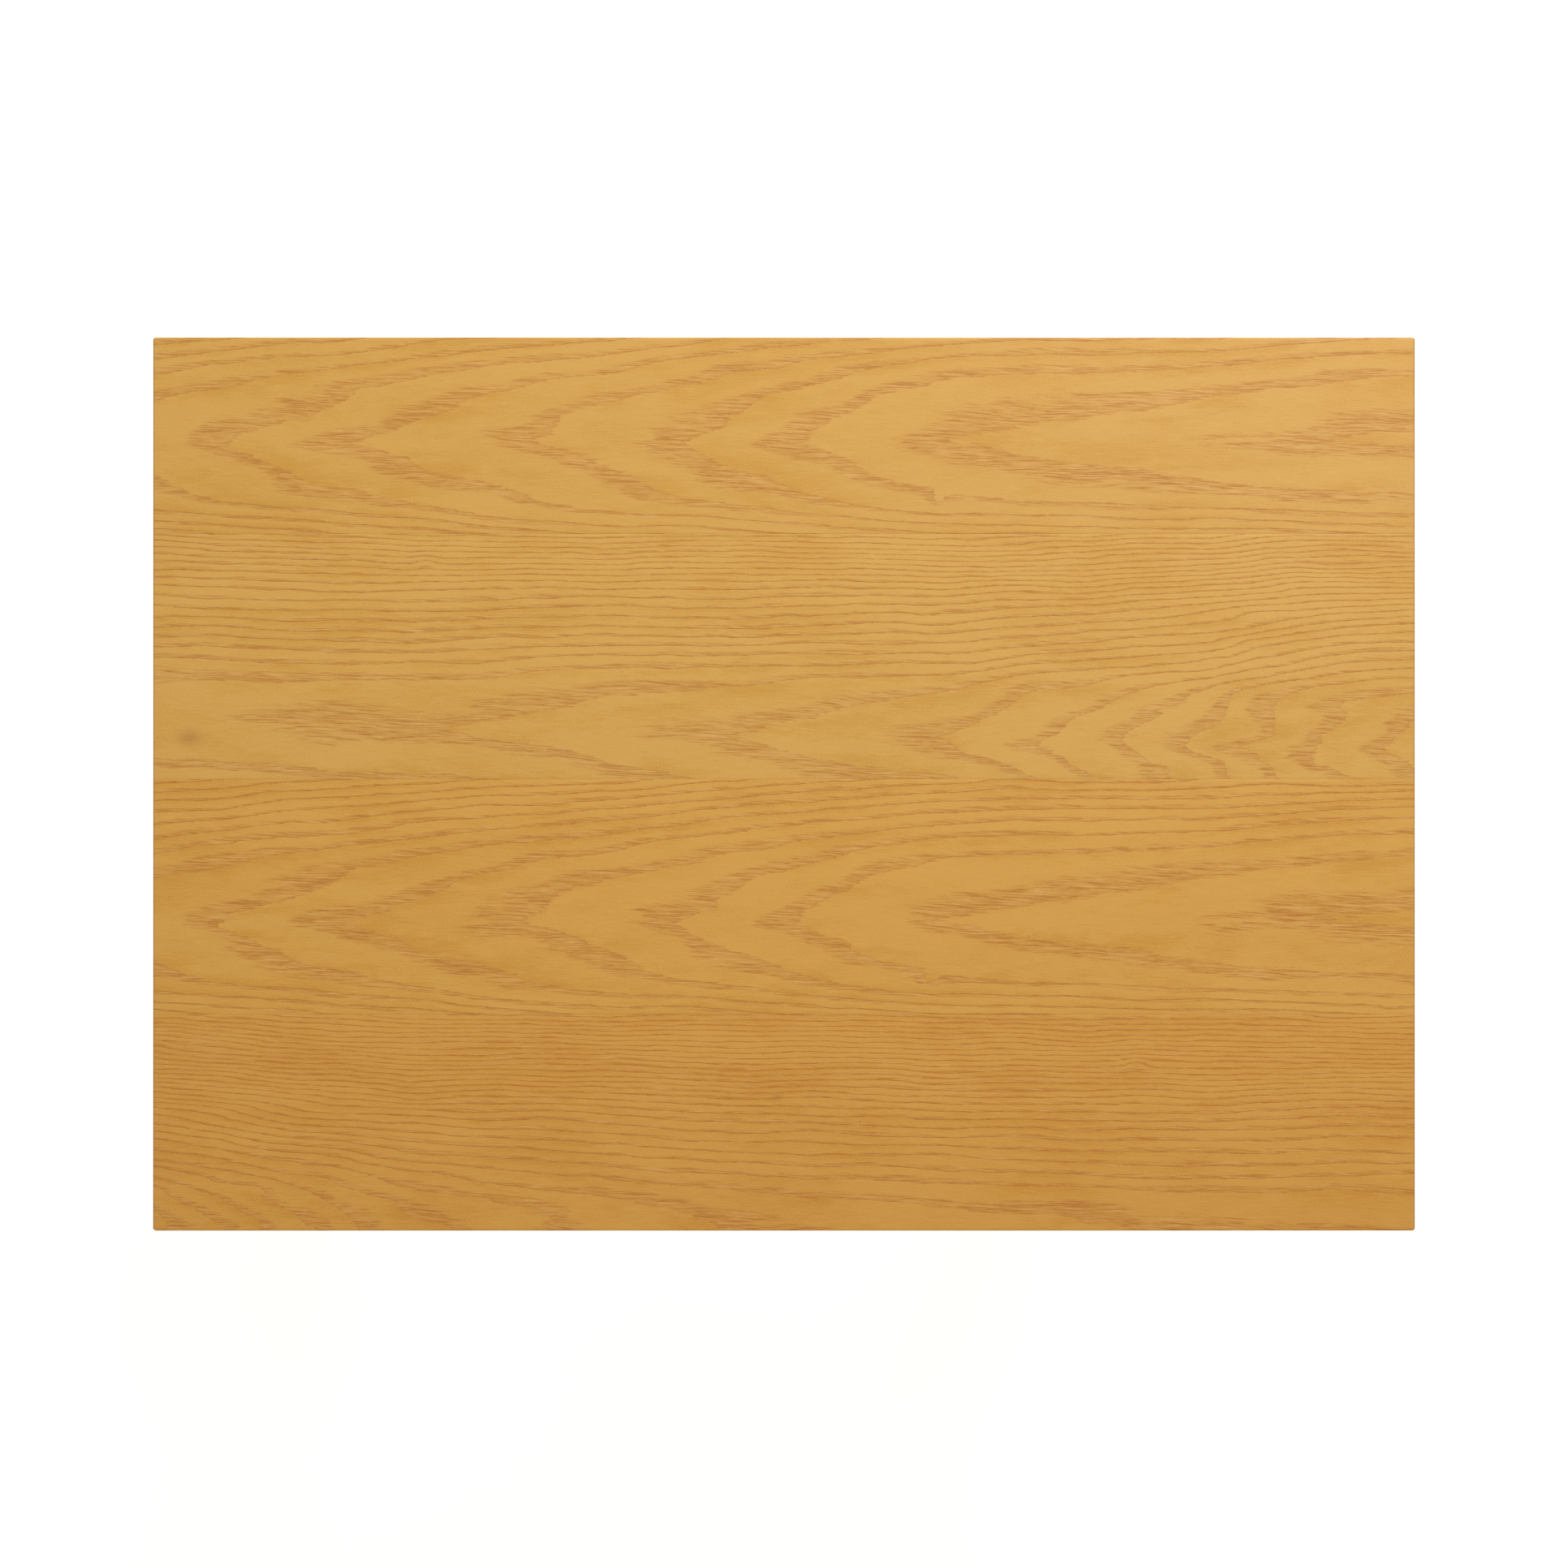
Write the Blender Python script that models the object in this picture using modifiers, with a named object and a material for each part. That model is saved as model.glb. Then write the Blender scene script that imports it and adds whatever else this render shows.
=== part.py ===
"""Wooden drafting table: a veneered board that tilts on two telescoping trestle columns.

Run it with: blender --background --python part.py
Metres, +Z up. X runs along the board's long side, -Y is the side that the drafter sits at, and the
origin is on the floor under the middle of the board.

The board rests level and the columns rest at their lowest. Each column is a slotted post that slides
between two cheeks, and is clamped by a knob on a carriage bolt. The board turns on a pivot bolt at the
head of each post, and a slotted steel quadrant under it is clamped to the post by a second knob.
"""

import math

import bmesh
import bpy
from mathutils import Matrix, Vector

# ---------------------------------------------------------------- driving dimensions
TOP_WIDTH = 0.918
TOP_DEPTH = 0.650
TOP_THICKNESS = 0.022
TOP_HEIGHT = 0.760
TRAVEL = 0.200
TILT_DEG = 65.0
COLUMN_X = 0.330

GAP = 0.0003  # between faces that touch
SLIDING_GAP = 0.0004  # between the post and the cheeks

# ---------------------------------------------------------------- board
VENEER = 0.0009
LIPPING = 0.008
CORNER_RADIUS = 0.0024
CORE_THICKNESS = TOP_THICKNESS - 2 * (VENEER + GAP)
BOARD_BOTTOM = TOP_HEIGHT - TOP_THICKNESS
CORE_BOTTOM = BOARD_BOTTOM + VENEER + GAP

# ---------------------------------------------------------------- columns
MEMBER_DEPTH = 0.066  # of posts and cheeks, front to back
HEAD_RADIUS = MEMBER_DEPTH / 2
POST_THICKNESS = 0.028  # also of the foot and the spacer block
CHEEK_THICKNESS = 0.018
PIVOT_DROP = 0.044  # from the board's underside to its pivot
PIVOT_Z = BOARD_BOTTOM - PIVOT_DROP
GLIDE_HEIGHT = 0.006
ARCH_HEIGHT = 0.014
FOOT_LENGTH = 0.600
FOOT_HEIGHT = 0.060
FOOT_END_HEIGHT = 0.036
FOOT_PAD = 0.090  # flat length at each end, over a glide
FOOT_TOP = GLIDE_HEIGHT + FOOT_HEIGHT
CHEEK_BOTTOM = GLIDE_HEIGHT + ARCH_HEIGHT
CHEEK_TOP = 0.540
SPACER_TOP = 0.205
POST_BOTTOM = 0.215
CLAMP_Z = 0.500
GUIDE_Z = 0.455

POST_INNER = COLUMN_X - POST_THICKNESS / 2
POST_OUTER = COLUMN_X + POST_THICKNESS / 2
CHEEK_IN_NEAR = POST_INNER - SLIDING_GAP  # the inner cheek's two faces
CHEEK_IN_FAR = CHEEK_IN_NEAR - CHEEK_THICKNESS
CHEEK_OUT_NEAR = POST_OUTER + SLIDING_GAP  # the outer cheek's two faces
CHEEK_OUT_FAR = CHEEK_OUT_NEAR + CHEEK_THICKNESS

# ---------------------------------------------------------------- rails
STRETCHER_BOTTOM = 0.095
STRETCHER_TOP = 0.190
STRETCHER_THICKNESS = 0.022
RAIL_BOTTOM = 0.556
RAIL_TOP = 0.620
RAIL_FRONT = 0.006
RAIL_THICKNESS = 0.022
RAIL_Y = RAIL_FRONT + RAIL_THICKNESS / 2
RAIL_Z = (RAIL_BOTTOM + RAIL_TOP) / 2

# ---------------------------------------------------------------- battens under the board
BATTEN_THICKNESS = 0.026
BATTEN_LENGTH = 0.560
BATTEN_END_HEIGHT = 0.022
BATTEN_ROOT_HEIGHT = 0.032
BATTEN_BELLY = 0.022  # below the pivot
BATTEN_BELLY_LENGTH = 0.090
PIVOT_SPACER = 0.0015
BATTEN_NEAR = POST_INNER - PIVOT_SPACER - 2 * GAP
BATTEN_FAR = BATTEN_NEAR - BATTEN_THICKNESS

# ---------------------------------------------------------------- steel quadrants
PLATE = 0.003
QUADRANT_RADIUS = 0.115
QUADRANT_HALF_BAND = 0.014
FLANGE_WIDTH = 0.030
PLATE_NEAR = POST_OUTER + GAP
PLATE_FAR = PLATE_NEAR + PLATE
TILT_CLAMP_Z = PIVOT_Z - QUADRANT_RADIUS
SLOT_CLEARANCE = 0.0005
SLOT_MARGIN_DEG = 1.0

# ---------------------------------------------------------------- M8 and M6 hardware
M8 = 0.004  # radii
M6 = 0.003
HOLE_CLEARANCE = 0.0003
M8_HOLE = M8 + HOLE_CLEARANCE
M6_HOLE = M6 + HOLE_CLEARANCE
DOME_RADIUS = 0.0095
DOME_HEIGHT = 0.0045
NUT_RADIUS = 0.0075  # across a hexagon's corners
NUT_HEIGHT = 0.008
WASHER_RADIUS = 0.011
WASHER = 0.0016
INSERT_RADIUS = 0.0062
INSERT_LENGTH = 0.020
SCREW_HEAD_RADIUS = 0.0066
SCREW_HEAD = 0.0042
SCREW_SINK = 0.0052  # of the rail screw's seat below the post's face
SCREW_LENGTH = 0.060
BARREL_RADIUS = 0.006
BARREL_LENGTH = 0.016
BARREL_INSET = 0.034  # from the stretcher's end
DOWEL_RADIUS = 0.005
DOWEL_Y = 0.018
DOWEL_Z = 0.043
KNOB_RADIUS = 0.026
KNOB_DEPTH = 0.024
KNOB_LOBES = 5
KNOB_BORE_DEPTH = 0.015
GLIDE_RADIUS = 0.013
GLIDE_Y = FOOT_LENGTH / 2 - 0.034
CUTTER_REACH = 0.02  # how far a cutter runs past what it cuts

ROUND_SIDES = 20
SIDES = {"left": -1, "right": 1}


# ---------------------------------------------------------------- scene helpers
def clear_scene():
    """Removes whatever the startup file holds."""
    for obj in list(bpy.data.objects):
        bpy.data.objects.remove(obj, do_unlink=True)


def make_collection(name):
    """A new collection under the scene's own."""
    collection = bpy.data.collections.new(name)
    bpy.context.scene.collection.children.link(collection)
    return collection


def make_material(name, colour, roughness, metallic=0.0):
    """A Principled BSDF with one colour."""
    material = bpy.data.materials.new(name)
    material.use_nodes = True
    shader = material.node_tree.nodes["Principled BSDF"]
    shader.inputs["Base Color"].default_value = (*colour, 1.0)
    shader.inputs["Roughness"].default_value = roughness
    shader.inputs["Metallic"].default_value = metallic
    return material


def adopt(obj, name, material, collection=None):
    """Names an object, gives it its material and moves it to its collection."""
    obj.name = name
    obj.data.name = name
    obj.data.materials.clear()
    if material is not None:
        obj.data.materials.append(material)
    for old in list(obj.users_collection):
        old.objects.unlink(obj)
    (collection or TABLE).objects.link(obj)
    return obj


def as_cutter(obj, name="cutter"):
    """Puts a helper shape in the cutters' collection, out of the render."""
    adopt(obj, name, None, CUTTERS)
    obj.hide_render = True
    obj.display_type = "WIRE"
    return obj


def axis_empty(name, location):
    """An empty on a joint's axis, which the moving pieces are parented to."""
    empty = bpy.data.objects.new(name, None)
    empty.empty_display_size = 0.03
    empty.location = location
    TABLE.objects.link(empty)
    return empty


def hang_on(empty, pieces):
    """Parents pieces to an empty without moving them."""
    for piece in pieces:
        piece.parent = empty
        piece.matrix_parent_inverse = Matrix.Translation(empty.location).inverted()


def bevel(obj, width, segments=1):
    """Eases every sharp edge."""
    modifier = obj.modifiers.new("eased_edges", "BEVEL")
    modifier.width = width
    modifier.segments = segments
    modifier.limit_method = "ANGLE"
    modifier.angle_limit = math.radians(50)
    return obj


def cut(obj, *cutters):
    """Takes each cutter out of an object."""
    for cutter in cutters:
        modifier = obj.modifiers.new("cut", "BOOLEAN")
        modifier.operation = "DIFFERENCE"
        modifier.solver = "EXACT"
        modifier.object = cutter
    return obj


def join_to(obj, other):
    """Unites a helper shape with an object."""
    modifier = obj.modifiers.new("join", "BOOLEAN")
    modifier.operation = "UNION"
    modifier.solver = "EXACT"
    modifier.object = other
    return obj


# ---------------------------------------------------------------- shapes
def box(name, low, high, material):
    """A box between two corners."""
    low, high = Vector(low), Vector(high)
    bpy.ops.mesh.primitive_cube_add(size=1, location=(low + high) / 2)
    obj = bpy.context.active_object
    obj.scale = high - low
    bpy.ops.object.transform_apply(location=False, rotation=False, scale=True)
    return adopt(obj, name, material)


def rod(name, radius, x_from, x_to, y, z, material, sides=ROUND_SIDES):
    """A round bar along X."""
    bpy.ops.mesh.primitive_cylinder_add(
        vertices=sides,
        radius=radius,
        depth=abs(x_to - x_from),
        location=((x_from + x_to) / 2, y, z),
        rotation=(0, math.pi / 2, 0),
    )
    obj = adopt(bpy.context.active_object, name, material)
    smooth(obj)
    return obj


def rod_cutter(radius, x_from, x_to, y, z, sides=ROUND_SIDES):
    """A round cutter along X."""
    return as_cutter(rod("bore", radius, x_from, x_to, y, z, None, sides))


def cross_cutter(radius, y_from, y_to, x, z):
    """A round cutter along Y."""
    bpy.ops.mesh.primitive_cylinder_add(
        vertices=ROUND_SIDES,
        radius=radius,
        depth=y_to - y_from,
        location=(x, (y_from + y_to) / 2, z),
        rotation=(math.pi / 2, 0, 0),
    )
    return as_cutter(bpy.context.active_object)


def smooth(obj):
    """Shades a round piece smooth and keeps its sharp rims."""
    obj.data.shade_smooth()
    obj.data.set_sharp_from_angle(angle=math.radians(35))


def slab(name, outline, x_from, x_to, material):
    """A flat outline of (y, z) points, as thick as from x_from to x_to, as a mesh."""
    data = bpy.data.curves.new(name, "CURVE")
    data.dimensions = "2D"
    data.fill_mode = "BOTH"
    data.extrude = abs(x_to - x_from) / 2
    spline = data.splines.new("POLY")
    spline.points.add(len(outline) - 1)
    for point, (y, z) in zip(spline.points, outline):
        point.co = (y, z, 0, 1)
    spline.use_cyclic_u = True
    guide = bpy.data.objects.new(name + "_outline", data)
    bpy.context.scene.collection.objects.link(guide)
    # The curve's own X, Y and Z become the table's Y, Z and X.
    turn = Matrix(((0, 0, 1), (1, 0, 0), (0, 1, 0))).to_4x4()
    guide.matrix_world = Matrix.Translation(((x_from + x_to) / 2, 0, 0)) @ turn
    bpy.context.view_layer.update()
    evaluated = guide.evaluated_get(bpy.context.evaluated_depsgraph_get())
    mesh = bpy.data.meshes.new_from_object(evaluated)
    half = bmesh.new()
    half.from_mesh(mesh)
    bmesh.ops.remove_doubles(half, verts=half.verts, dist=1e-5)
    bmesh.ops.dissolve_limit(half, angle_limit=math.radians(0.5), verts=half.verts, edges=half.edges)
    bmesh.ops.recalc_face_normals(half, faces=half.faces)
    half.to_mesh(mesh)
    half.free()
    obj = bpy.data.objects.new(name, mesh)
    obj.matrix_world = guide.matrix_world
    bpy.context.scene.collection.objects.link(obj)
    bpy.data.objects.remove(guide)
    return adopt(obj, name, material)


def arc(centre, radius, from_deg, to_deg, steps):
    """Points along an arc in the YZ plane, from one angle to another."""
    points = []
    for i in range(steps + 1):
        angle = math.radians(from_deg + (to_deg - from_deg) * i / steps)
        points.append((centre[0] + radius * math.cos(angle), centre[1] + radius * math.sin(angle)))
    return points


def round_headed(bottom, top, steps=14):
    """The outline of an upright member with a half-round head and a square foot."""
    head = arc((0, top - HEAD_RADIUS), HEAD_RADIUS, 0, 180, steps)
    return [(-HEAD_RADIUS, bottom), (HEAD_RADIUS, bottom), *head]


def long_slot(bottom, top, half_width, steps=8):
    """The outline of an upright slot with round ends."""
    upper = arc((0, top), half_width, 0, 180, steps)
    lower = arc((0, bottom), half_width, 180, 360, steps)
    return [*upper, *lower]


def turned(name, profile, sign, x, y, z, material, sides=ROUND_SIDES):
    """A turned piece. The profile is (distance along the axis, radius) from its outer end to its root."""
    mesh = bpy.data.meshes.new(name)
    # The Screw turns about the object's Z, so distance goes along Z and radius along X.
    points = [(radius, 0, along) for along, radius in profile]
    mesh.from_pydata(points, [(i, i + 1) for i in range(len(points) - 1)], [])
    obj = bpy.data.objects.new(name, mesh)
    bpy.context.scene.collection.objects.link(obj)
    modifier = obj.modifiers.new("turn", "SCREW")
    modifier.steps = modifier.render_steps = sides
    modifier.use_merge_vertices = True
    modifier.merge_threshold = 0.00005
    modifier.use_smooth_shade = True
    obj.location = (x, y, z)
    obj.rotation_euler = (0, sign * math.pi / 2, 0)
    return adopt(obj, name, material)


# ---------------------------------------------------------------- the board
def rounded_sheet(name, low, high, material, outer=0):
    """A flat sheet with small radii at its upright corners, or only at those on one side in Y."""
    sheet = box(name, low, high, material)
    edit = bmesh.new()
    edit.from_mesh(sheet.data)
    uprights = [e for e in edit.edges if abs(e.verts[0].co.z - e.verts[1].co.z) > VENEER / 2]
    if outer:
        uprights = [e for e in uprights if e.verts[0].co.y * outer > 0]
    bmesh.ops.bevel(edit, geom=uprights, offset=CORNER_RADIUS, segments=3, affect="EDGES", profile=0.5)
    edit.to_mesh(sheet.data)
    edit.free()
    return sheet


def make_board():
    """The core, its four lippings and the veneer on both faces."""
    half_w, half_d = TOP_WIDTH / 2, TOP_DEPTH / 2
    core_w, core_d = half_w - LIPPING - GAP, half_d - LIPPING - GAP
    core_top = CORE_BOTTOM + CORE_THICKNESS
    core = box("core_panel", (-core_w, -core_d, CORE_BOTTOM), (core_w, core_d, core_top), BOARD_CORE)
    face = rounded_sheet(
        "face_veneer", (-half_w, -half_d, TOP_HEIGHT - VENEER), (half_w, half_d, TOP_HEIGHT), ASH
    )
    back = rounded_sheet(
        "back_veneer", (-half_w, -half_d, BOARD_BOTTOM), (half_w, half_d, BOARD_BOTTOM + VENEER), ASH
    )
    pieces = [core, face, back]
    for name, sign in (("front", -1), ("back", 1)):
        low_y, high_y = sorted((sign * half_d, sign * (half_d - LIPPING)))
        low, high = (-half_w, low_y, CORE_BOTTOM), (half_w, high_y, core_top)
        pieces.append(rounded_sheet(f"lipping_{name}", low, high, ASH, outer=sign))
    for name, sign in SIDES.items():
        low_x, high_x = sorted((sign * half_w, sign * (half_w - LIPPING)))
        strip = box(f"lipping_{name}", (low_x, -core_d, CORE_BOTTOM), (high_x, core_d, core_top), ASH)
        pieces.append(strip)
    return pieces


def batten_outline():
    """A straight top under the board, arms that taper to their ends, and a belly below the pivot."""
    top = BOARD_BOTTOM - GAP
    half = BATTEN_LENGTH / 2
    belly = PIVOT_Z - BATTEN_BELLY
    end = top - BATTEN_END_HEIGHT
    root = top - BATTEN_ROOT_HEIGHT
    return [
        (half, end),
        (half, top),
        (-half, top),
        (-half, end),
        (-BATTEN_BELLY_LENGTH, root),
        (-BATTEN_BELLY_LENGTH / 2, belly),
        (BATTEN_BELLY_LENGTH / 2, belly),
        (BATTEN_BELLY_LENGTH, root),
    ]


def make_batten(side, sign):
    """The batten screwed under the board beside a post, bored for the pivot bolt."""
    near, far = sign * BATTEN_NEAR, sign * BATTEN_FAR
    batten = slab(f"batten_{side}", batten_outline(), near, far, ASH)
    reach = sign * CUTTER_REACH
    cut(batten, rod_cutter(M8_HOLE, far - reach, near + reach, 0, PIVOT_Z))
    return bevel(batten, 0.0015)


def polar(radius, degrees):
    """A (y, z) point about the pivot."""
    angle = math.radians(degrees)
    return radius * math.cos(angle), PIVOT_Z + radius * math.sin(angle)


def make_quadrant(side, sign):
    """The slotted steel plate that turns with the board, with a flange under the board."""
    top = BOARD_BOTTOM - GAP
    outer = QUADRANT_RADIUS + QUADRANT_HALF_BAND
    slot_start, slot_end = -90 + SLOT_MARGIN_DEG, -90 - TILT_DEG - SLOT_MARGIN_DEG
    low_end = slot_start + 7
    front_end = slot_end - 8
    hub = 0.019
    outline = [
        (hub, top),
        *[polar(hub, a) for a in (0, -22, -45)],
        *[polar(outer, low_end - (low_end - front_end) * i / 22) for i in range(23)],
        (polar(outer, front_end)[0], top),
    ]
    plate = slab(f"quadrant_{side}", outline, sign * PLATE_NEAR, sign * PLATE_FAR, BLACK_STEEL)
    front, back = polar(outer, front_end)[0] + 0.001, hub - 0.001
    low_x, high_x = sorted((sign * (PLATE_NEAR + PLATE / 2), sign * (PLATE_NEAR + FLANGE_WIDTH)))
    flange = as_cutter(box("flange", (low_x, front, top - PLATE), (high_x, back, top), None))
    join_to(plate, flange)
    # The slot for the clamping stud follows the pivot's circle.
    reach = CUTTER_REACH / 2
    span = (sign * (PLATE_NEAR - reach), sign * (PLATE_FAR + reach))
    half = M8 + SLOT_CLEARANCE
    near_r, far_r = QUADRANT_RADIUS - half, QUADRANT_RADIUS + half
    steps = 18
    sweep = [slot_start + (slot_end - slot_start) * i / steps for i in range(steps + 1)]
    lower = arc(polar(QUADRANT_RADIUS, slot_start), half, slot_start + 150, slot_start + 30, 4)
    upper = arc(polar(QUADRANT_RADIUS, slot_end), half, slot_end - 30, slot_end - 150, 4)
    slot = [*[polar(far_r, a) for a in sweep], *upper, *[polar(near_r, a) for a in reversed(sweep)], *lower]
    # The window lightens the plate between its two arms.
    window_r = QUADRANT_RADIUS - QUADRANT_HALF_BAND
    window = [
        *[polar(window_r, -101 - 51 * i / 12) for i in range(13)],
        polar(0.086, -162),
        polar(0.046, -158),
        polar(0.036, -132),
        polar(0.046, -106),
    ]
    cutters = [as_cutter(slab("slot", slot, *span, None)), as_cutter(slab("window", window, *span, None))]
    return cut(plate, *cutters, rod_cutter(M8_HOLE, *span, 0, PIVOT_Z))


# ---------------------------------------------------------------- the sliding frame
def make_post(side, sign):
    """The slotted post that slides between the cheeks and carries the board's pivot."""
    near, far = sign * POST_INNER, sign * POST_OUTER
    outline = round_headed(POST_BOTTOM, PIVOT_Z + HEAD_RADIUS)
    post = bevel(slab(f"post_{side}", outline, near, far, ASH), 0.0012)
    half = M8 + SLOT_CLEARANCE
    reach = sign * CUTTER_REACH
    slot = long_slot(GUIDE_Z - TRAVEL - SLOT_CLEARANCE, CLAMP_Z + SLOT_CLEARANCE, half)
    insert_root = far - sign * (INSERT_LENGTH + 2 * GAP)
    step = POST_OUTER - SCREW_SINK
    counterbore = [
        (POST_OUTER + CUTTER_REACH, 0),
        (POST_OUTER + CUTTER_REACH, SCREW_HEAD_RADIUS + 2 * GAP),
        (step, SCREW_HEAD_RADIUS + 2 * GAP),
        (step, M6_HOLE),
        (POST_INNER - CUTTER_REACH, M6_HOLE),
        (POST_INNER - CUTTER_REACH, 0),
    ]
    return cut(
        post,
        as_cutter(slab("slot", slot, near - reach, far + reach, None)),
        rod_cutter(M8_HOLE, near - reach, far + reach, 0, PIVOT_Z),
        rod_cutter(INSERT_RADIUS + GAP, insert_root, far + reach, 0, TILT_CLAMP_Z),
        as_cutter(turned("counterbore", counterbore, sign, 0, RAIL_Y, RAIL_Z, None)),
    )


def make_cross_rail():
    """The rail that joins the two posts, so that they rise together."""
    half = POST_INNER - GAP
    low, high = (-half, RAIL_FRONT, RAIL_BOTTOM), (half, RAIL_FRONT + RAIL_THICKNESS, RAIL_TOP)
    rail = bevel(box("cross_rail", low, high, ASH), 0.0015)
    for sign in SIDES.values():
        cut(rail, rod_cutter(M6_HOLE, sign * (half - 0.046), sign * (half + 0.01), RAIL_Y, RAIL_Z))
    return rail


def make_rail_bolt(side, sign):
    """The long screw through a post into the cross rail, its head sunk below the quadrant."""
    seat = POST_OUTER - SCREW_SINK + GAP
    tip = seat - SCREW_LENGTH
    profile = [
        (seat + SCREW_HEAD, 0),
        (seat + SCREW_HEAD, SCREW_HEAD_RADIUS),
        (seat, SCREW_HEAD_RADIUS),
        (seat, M6),
        (tip + M6, M6),
        (tip, 0),
    ]
    return turned(f"rail_screw_{side}", profile, sign, 0, RAIL_Y, RAIL_Z, ZINC, 20)


def make_pivot(side, sign):
    """The pivot bolt with its nut, and the nylon washer between the post and the batten."""
    head = PLATE_FAR + GAP
    tip = BATTEN_FAR - 2 * GAP - NUT_HEIGHT - 0.0015
    profile = [
        (head + DOME_HEIGHT, 0),
        (head + DOME_HEIGHT * 0.8, DOME_RADIUS * 0.6),
        (head + DOME_HEIGHT * 0.35, DOME_RADIUS * 0.93),
        (head, DOME_RADIUS),
        (head, M8),
        (tip + 0.001, M8),
        (tip, M8 - 0.001),
        (tip, 0),
    ]
    bolt = turned(f"pivot_bolt_{side}", profile, sign, 0, 0, PIVOT_Z, ZINC)
    reach = sign * CUTTER_REACH
    face = sign * (BATTEN_FAR - 2 * GAP)
    nut = rod(f"pivot_nut_{side}", NUT_RADIUS, face, face - sign * NUT_HEIGHT, 0, PIVOT_Z, ZINC, sides=6)
    cut(nut, rod_cutter(M8_HOLE, face - reach, face + reach, 0, PIVOT_Z))
    near = sign * (POST_INNER - GAP)
    spacer = rod(f"pivot_spacer_{side}", WASHER_RADIUS, near, near - sign * PIVOT_SPACER, 0, PIVOT_Z, NYLON)
    cut(spacer, rod_cutter(M8_HOLE, near - reach, near + reach, 0, PIVOT_Z))
    return [bolt, nut, spacer]


def make_insert(side, sign):
    """The threaded brass insert that the tilt knob's stud screws into."""
    mouth = POST_OUTER - GAP
    root = mouth - INSERT_LENGTH
    insert = rod(
        f"threaded_insert_{side}", INSERT_RADIUS, sign * root, sign * mouth, 0, TILT_CLAMP_Z, BRASS
    )
    reach = CUTTER_REACH
    return cut(insert, rod_cutter(M8_HOLE, sign * (root - reach), sign * (mouth + reach), 0, TILT_CLAMP_Z))


# ---------------------------------------------------------------- knobs
def star_outline(radius, height, steps=45):
    """A star of round lobes: the radius swells and shrinks KNOB_LOBES times round the axis."""
    points = []
    for i in range(steps):
        angle = 2 * math.pi * i / steps
        reach = radius * (0.88 + 0.12 * math.cos(KNOB_LOBES * angle))
        points.append((reach * math.cos(angle), height + reach * math.sin(angle)))
    return points


def make_knob(name, sign, start, height):
    """A star knob on a round hub, bored from the side that faces the column."""
    hub = 0.005
    low, high = sign * (start + hub), sign * (start + KNOB_DEPTH)
    knob = bevel(slab(name, star_outline(KNOB_RADIUS, height), low, high, BLACK_PLASTIC), 0.0015)
    neck = as_cutter(rod("hub", 0.0095, sign * start, sign * (start + hub + 0.002), 0, height, None))
    join_to(knob, neck)
    bore = (sign * (start - CUTTER_REACH), sign * (start + KNOB_BORE_DEPTH))
    return cut(knob, rod_cutter(M8_HOLE, *bore, 0, height))


def make_washer(name, sign, start, height):
    """A flat steel washer round an M8 thread."""
    washer = rod(name, WASHER_RADIUS, sign * start, sign * (start + WASHER), 0, height, ZINC)
    reach = CUTTER_REACH
    return cut(washer, rod_cutter(M8_HOLE, sign * (start - reach), sign * (start + reach), 0, height))


def make_tilt_knob(side, sign):
    """The washer, knob and stud that clamp the quadrant to the post."""
    washer_at = PLATE_FAR + GAP
    washer = make_washer(f"tilt_washer_{side}", sign, washer_at, TILT_CLAMP_Z)
    start = washer_at + WASHER + GAP
    knob = make_knob(f"tilt_knob_{side}", sign, start, TILT_CLAMP_Z)
    root, tip = start + KNOB_BORE_DEPTH - GAP, POST_OUTER - INSERT_LENGTH + 0.003
    stud = rod(f"tilt_stud_{side}", M8, sign * tip, sign * root, 0, TILT_CLAMP_Z, ZINC)
    return washer, [knob, stud]


def make_height_knob(side, sign):
    """The washer and knob that clamp the post between the cheeks."""
    washer_at = CHEEK_OUT_FAR + GAP
    washer = make_washer(f"height_washer_{side}", sign, washer_at, CLAMP_Z)
    start = washer_at + WASHER + GAP
    knob = make_knob(f"height_knob_{side}", sign, start, CLAMP_Z)
    return washer, [knob]


# ---------------------------------------------------------------- the base
def foot_outline():
    """A foot that tapers to its ends and is arched between its two pads."""
    half = FOOT_LENGTH / 2
    end_top = GLIDE_HEIGHT + FOOT_END_HEIGHT
    nose = 0.012
    crown = 0.085  # half the level stretch under the column
    arch_from = half - FOOT_PAD
    arch = []
    steps = 12
    for i in range(steps + 1):
        y = -arch_from + 2 * arch_from * i / steps
        rise = ARCH_HEIGHT * (0.5 + 0.5 * math.cos(math.pi * (2 * abs(y) / arch_from - 1)))
        height = ARCH_HEIGHT if abs(y) < arch_from / 2 else rise
        arch.append((y, GLIDE_HEIGHT + height))
    return [
        (-half + nose / 2, GLIDE_HEIGHT),
        *arch,
        (half - nose / 2, GLIDE_HEIGHT),
        (half, GLIDE_HEIGHT + nose / 2),
        *arc((half - nose, end_top - nose), nose, 0, 80, 5),
        (crown, FOOT_TOP),
        (-crown, FOOT_TOP),
        *arc((-half + nose, end_top - nose), nose, 100, 180, 5),
        (-half, GLIDE_HEIGHT + nose / 2),
    ]


def dowel_places():
    """The (y, z) places of the two dowels through a foot."""
    return {"front": (-DOWEL_Y, DOWEL_Z), "back": (DOWEL_Y, DOWEL_Z)}


def stretcher_z():
    """The height of the bolt into the stretcher."""
    return (STRETCHER_BOTTOM + STRETCHER_TOP) / 2


def make_foot(side, sign):
    """The foot rail, held between the two cheeks by dowels."""
    near, far = sign * POST_INNER, sign * POST_OUTER
    foot = bevel(slab(f"foot_{side}", foot_outline(), near, far, ASH), 0.0015)
    reach = sign * CUTTER_REACH
    for y, z in dowel_places().values():
        cut(foot, rod_cutter(DOWEL_RADIUS + GAP, near - reach, far + reach, y, z))
    return foot


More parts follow.
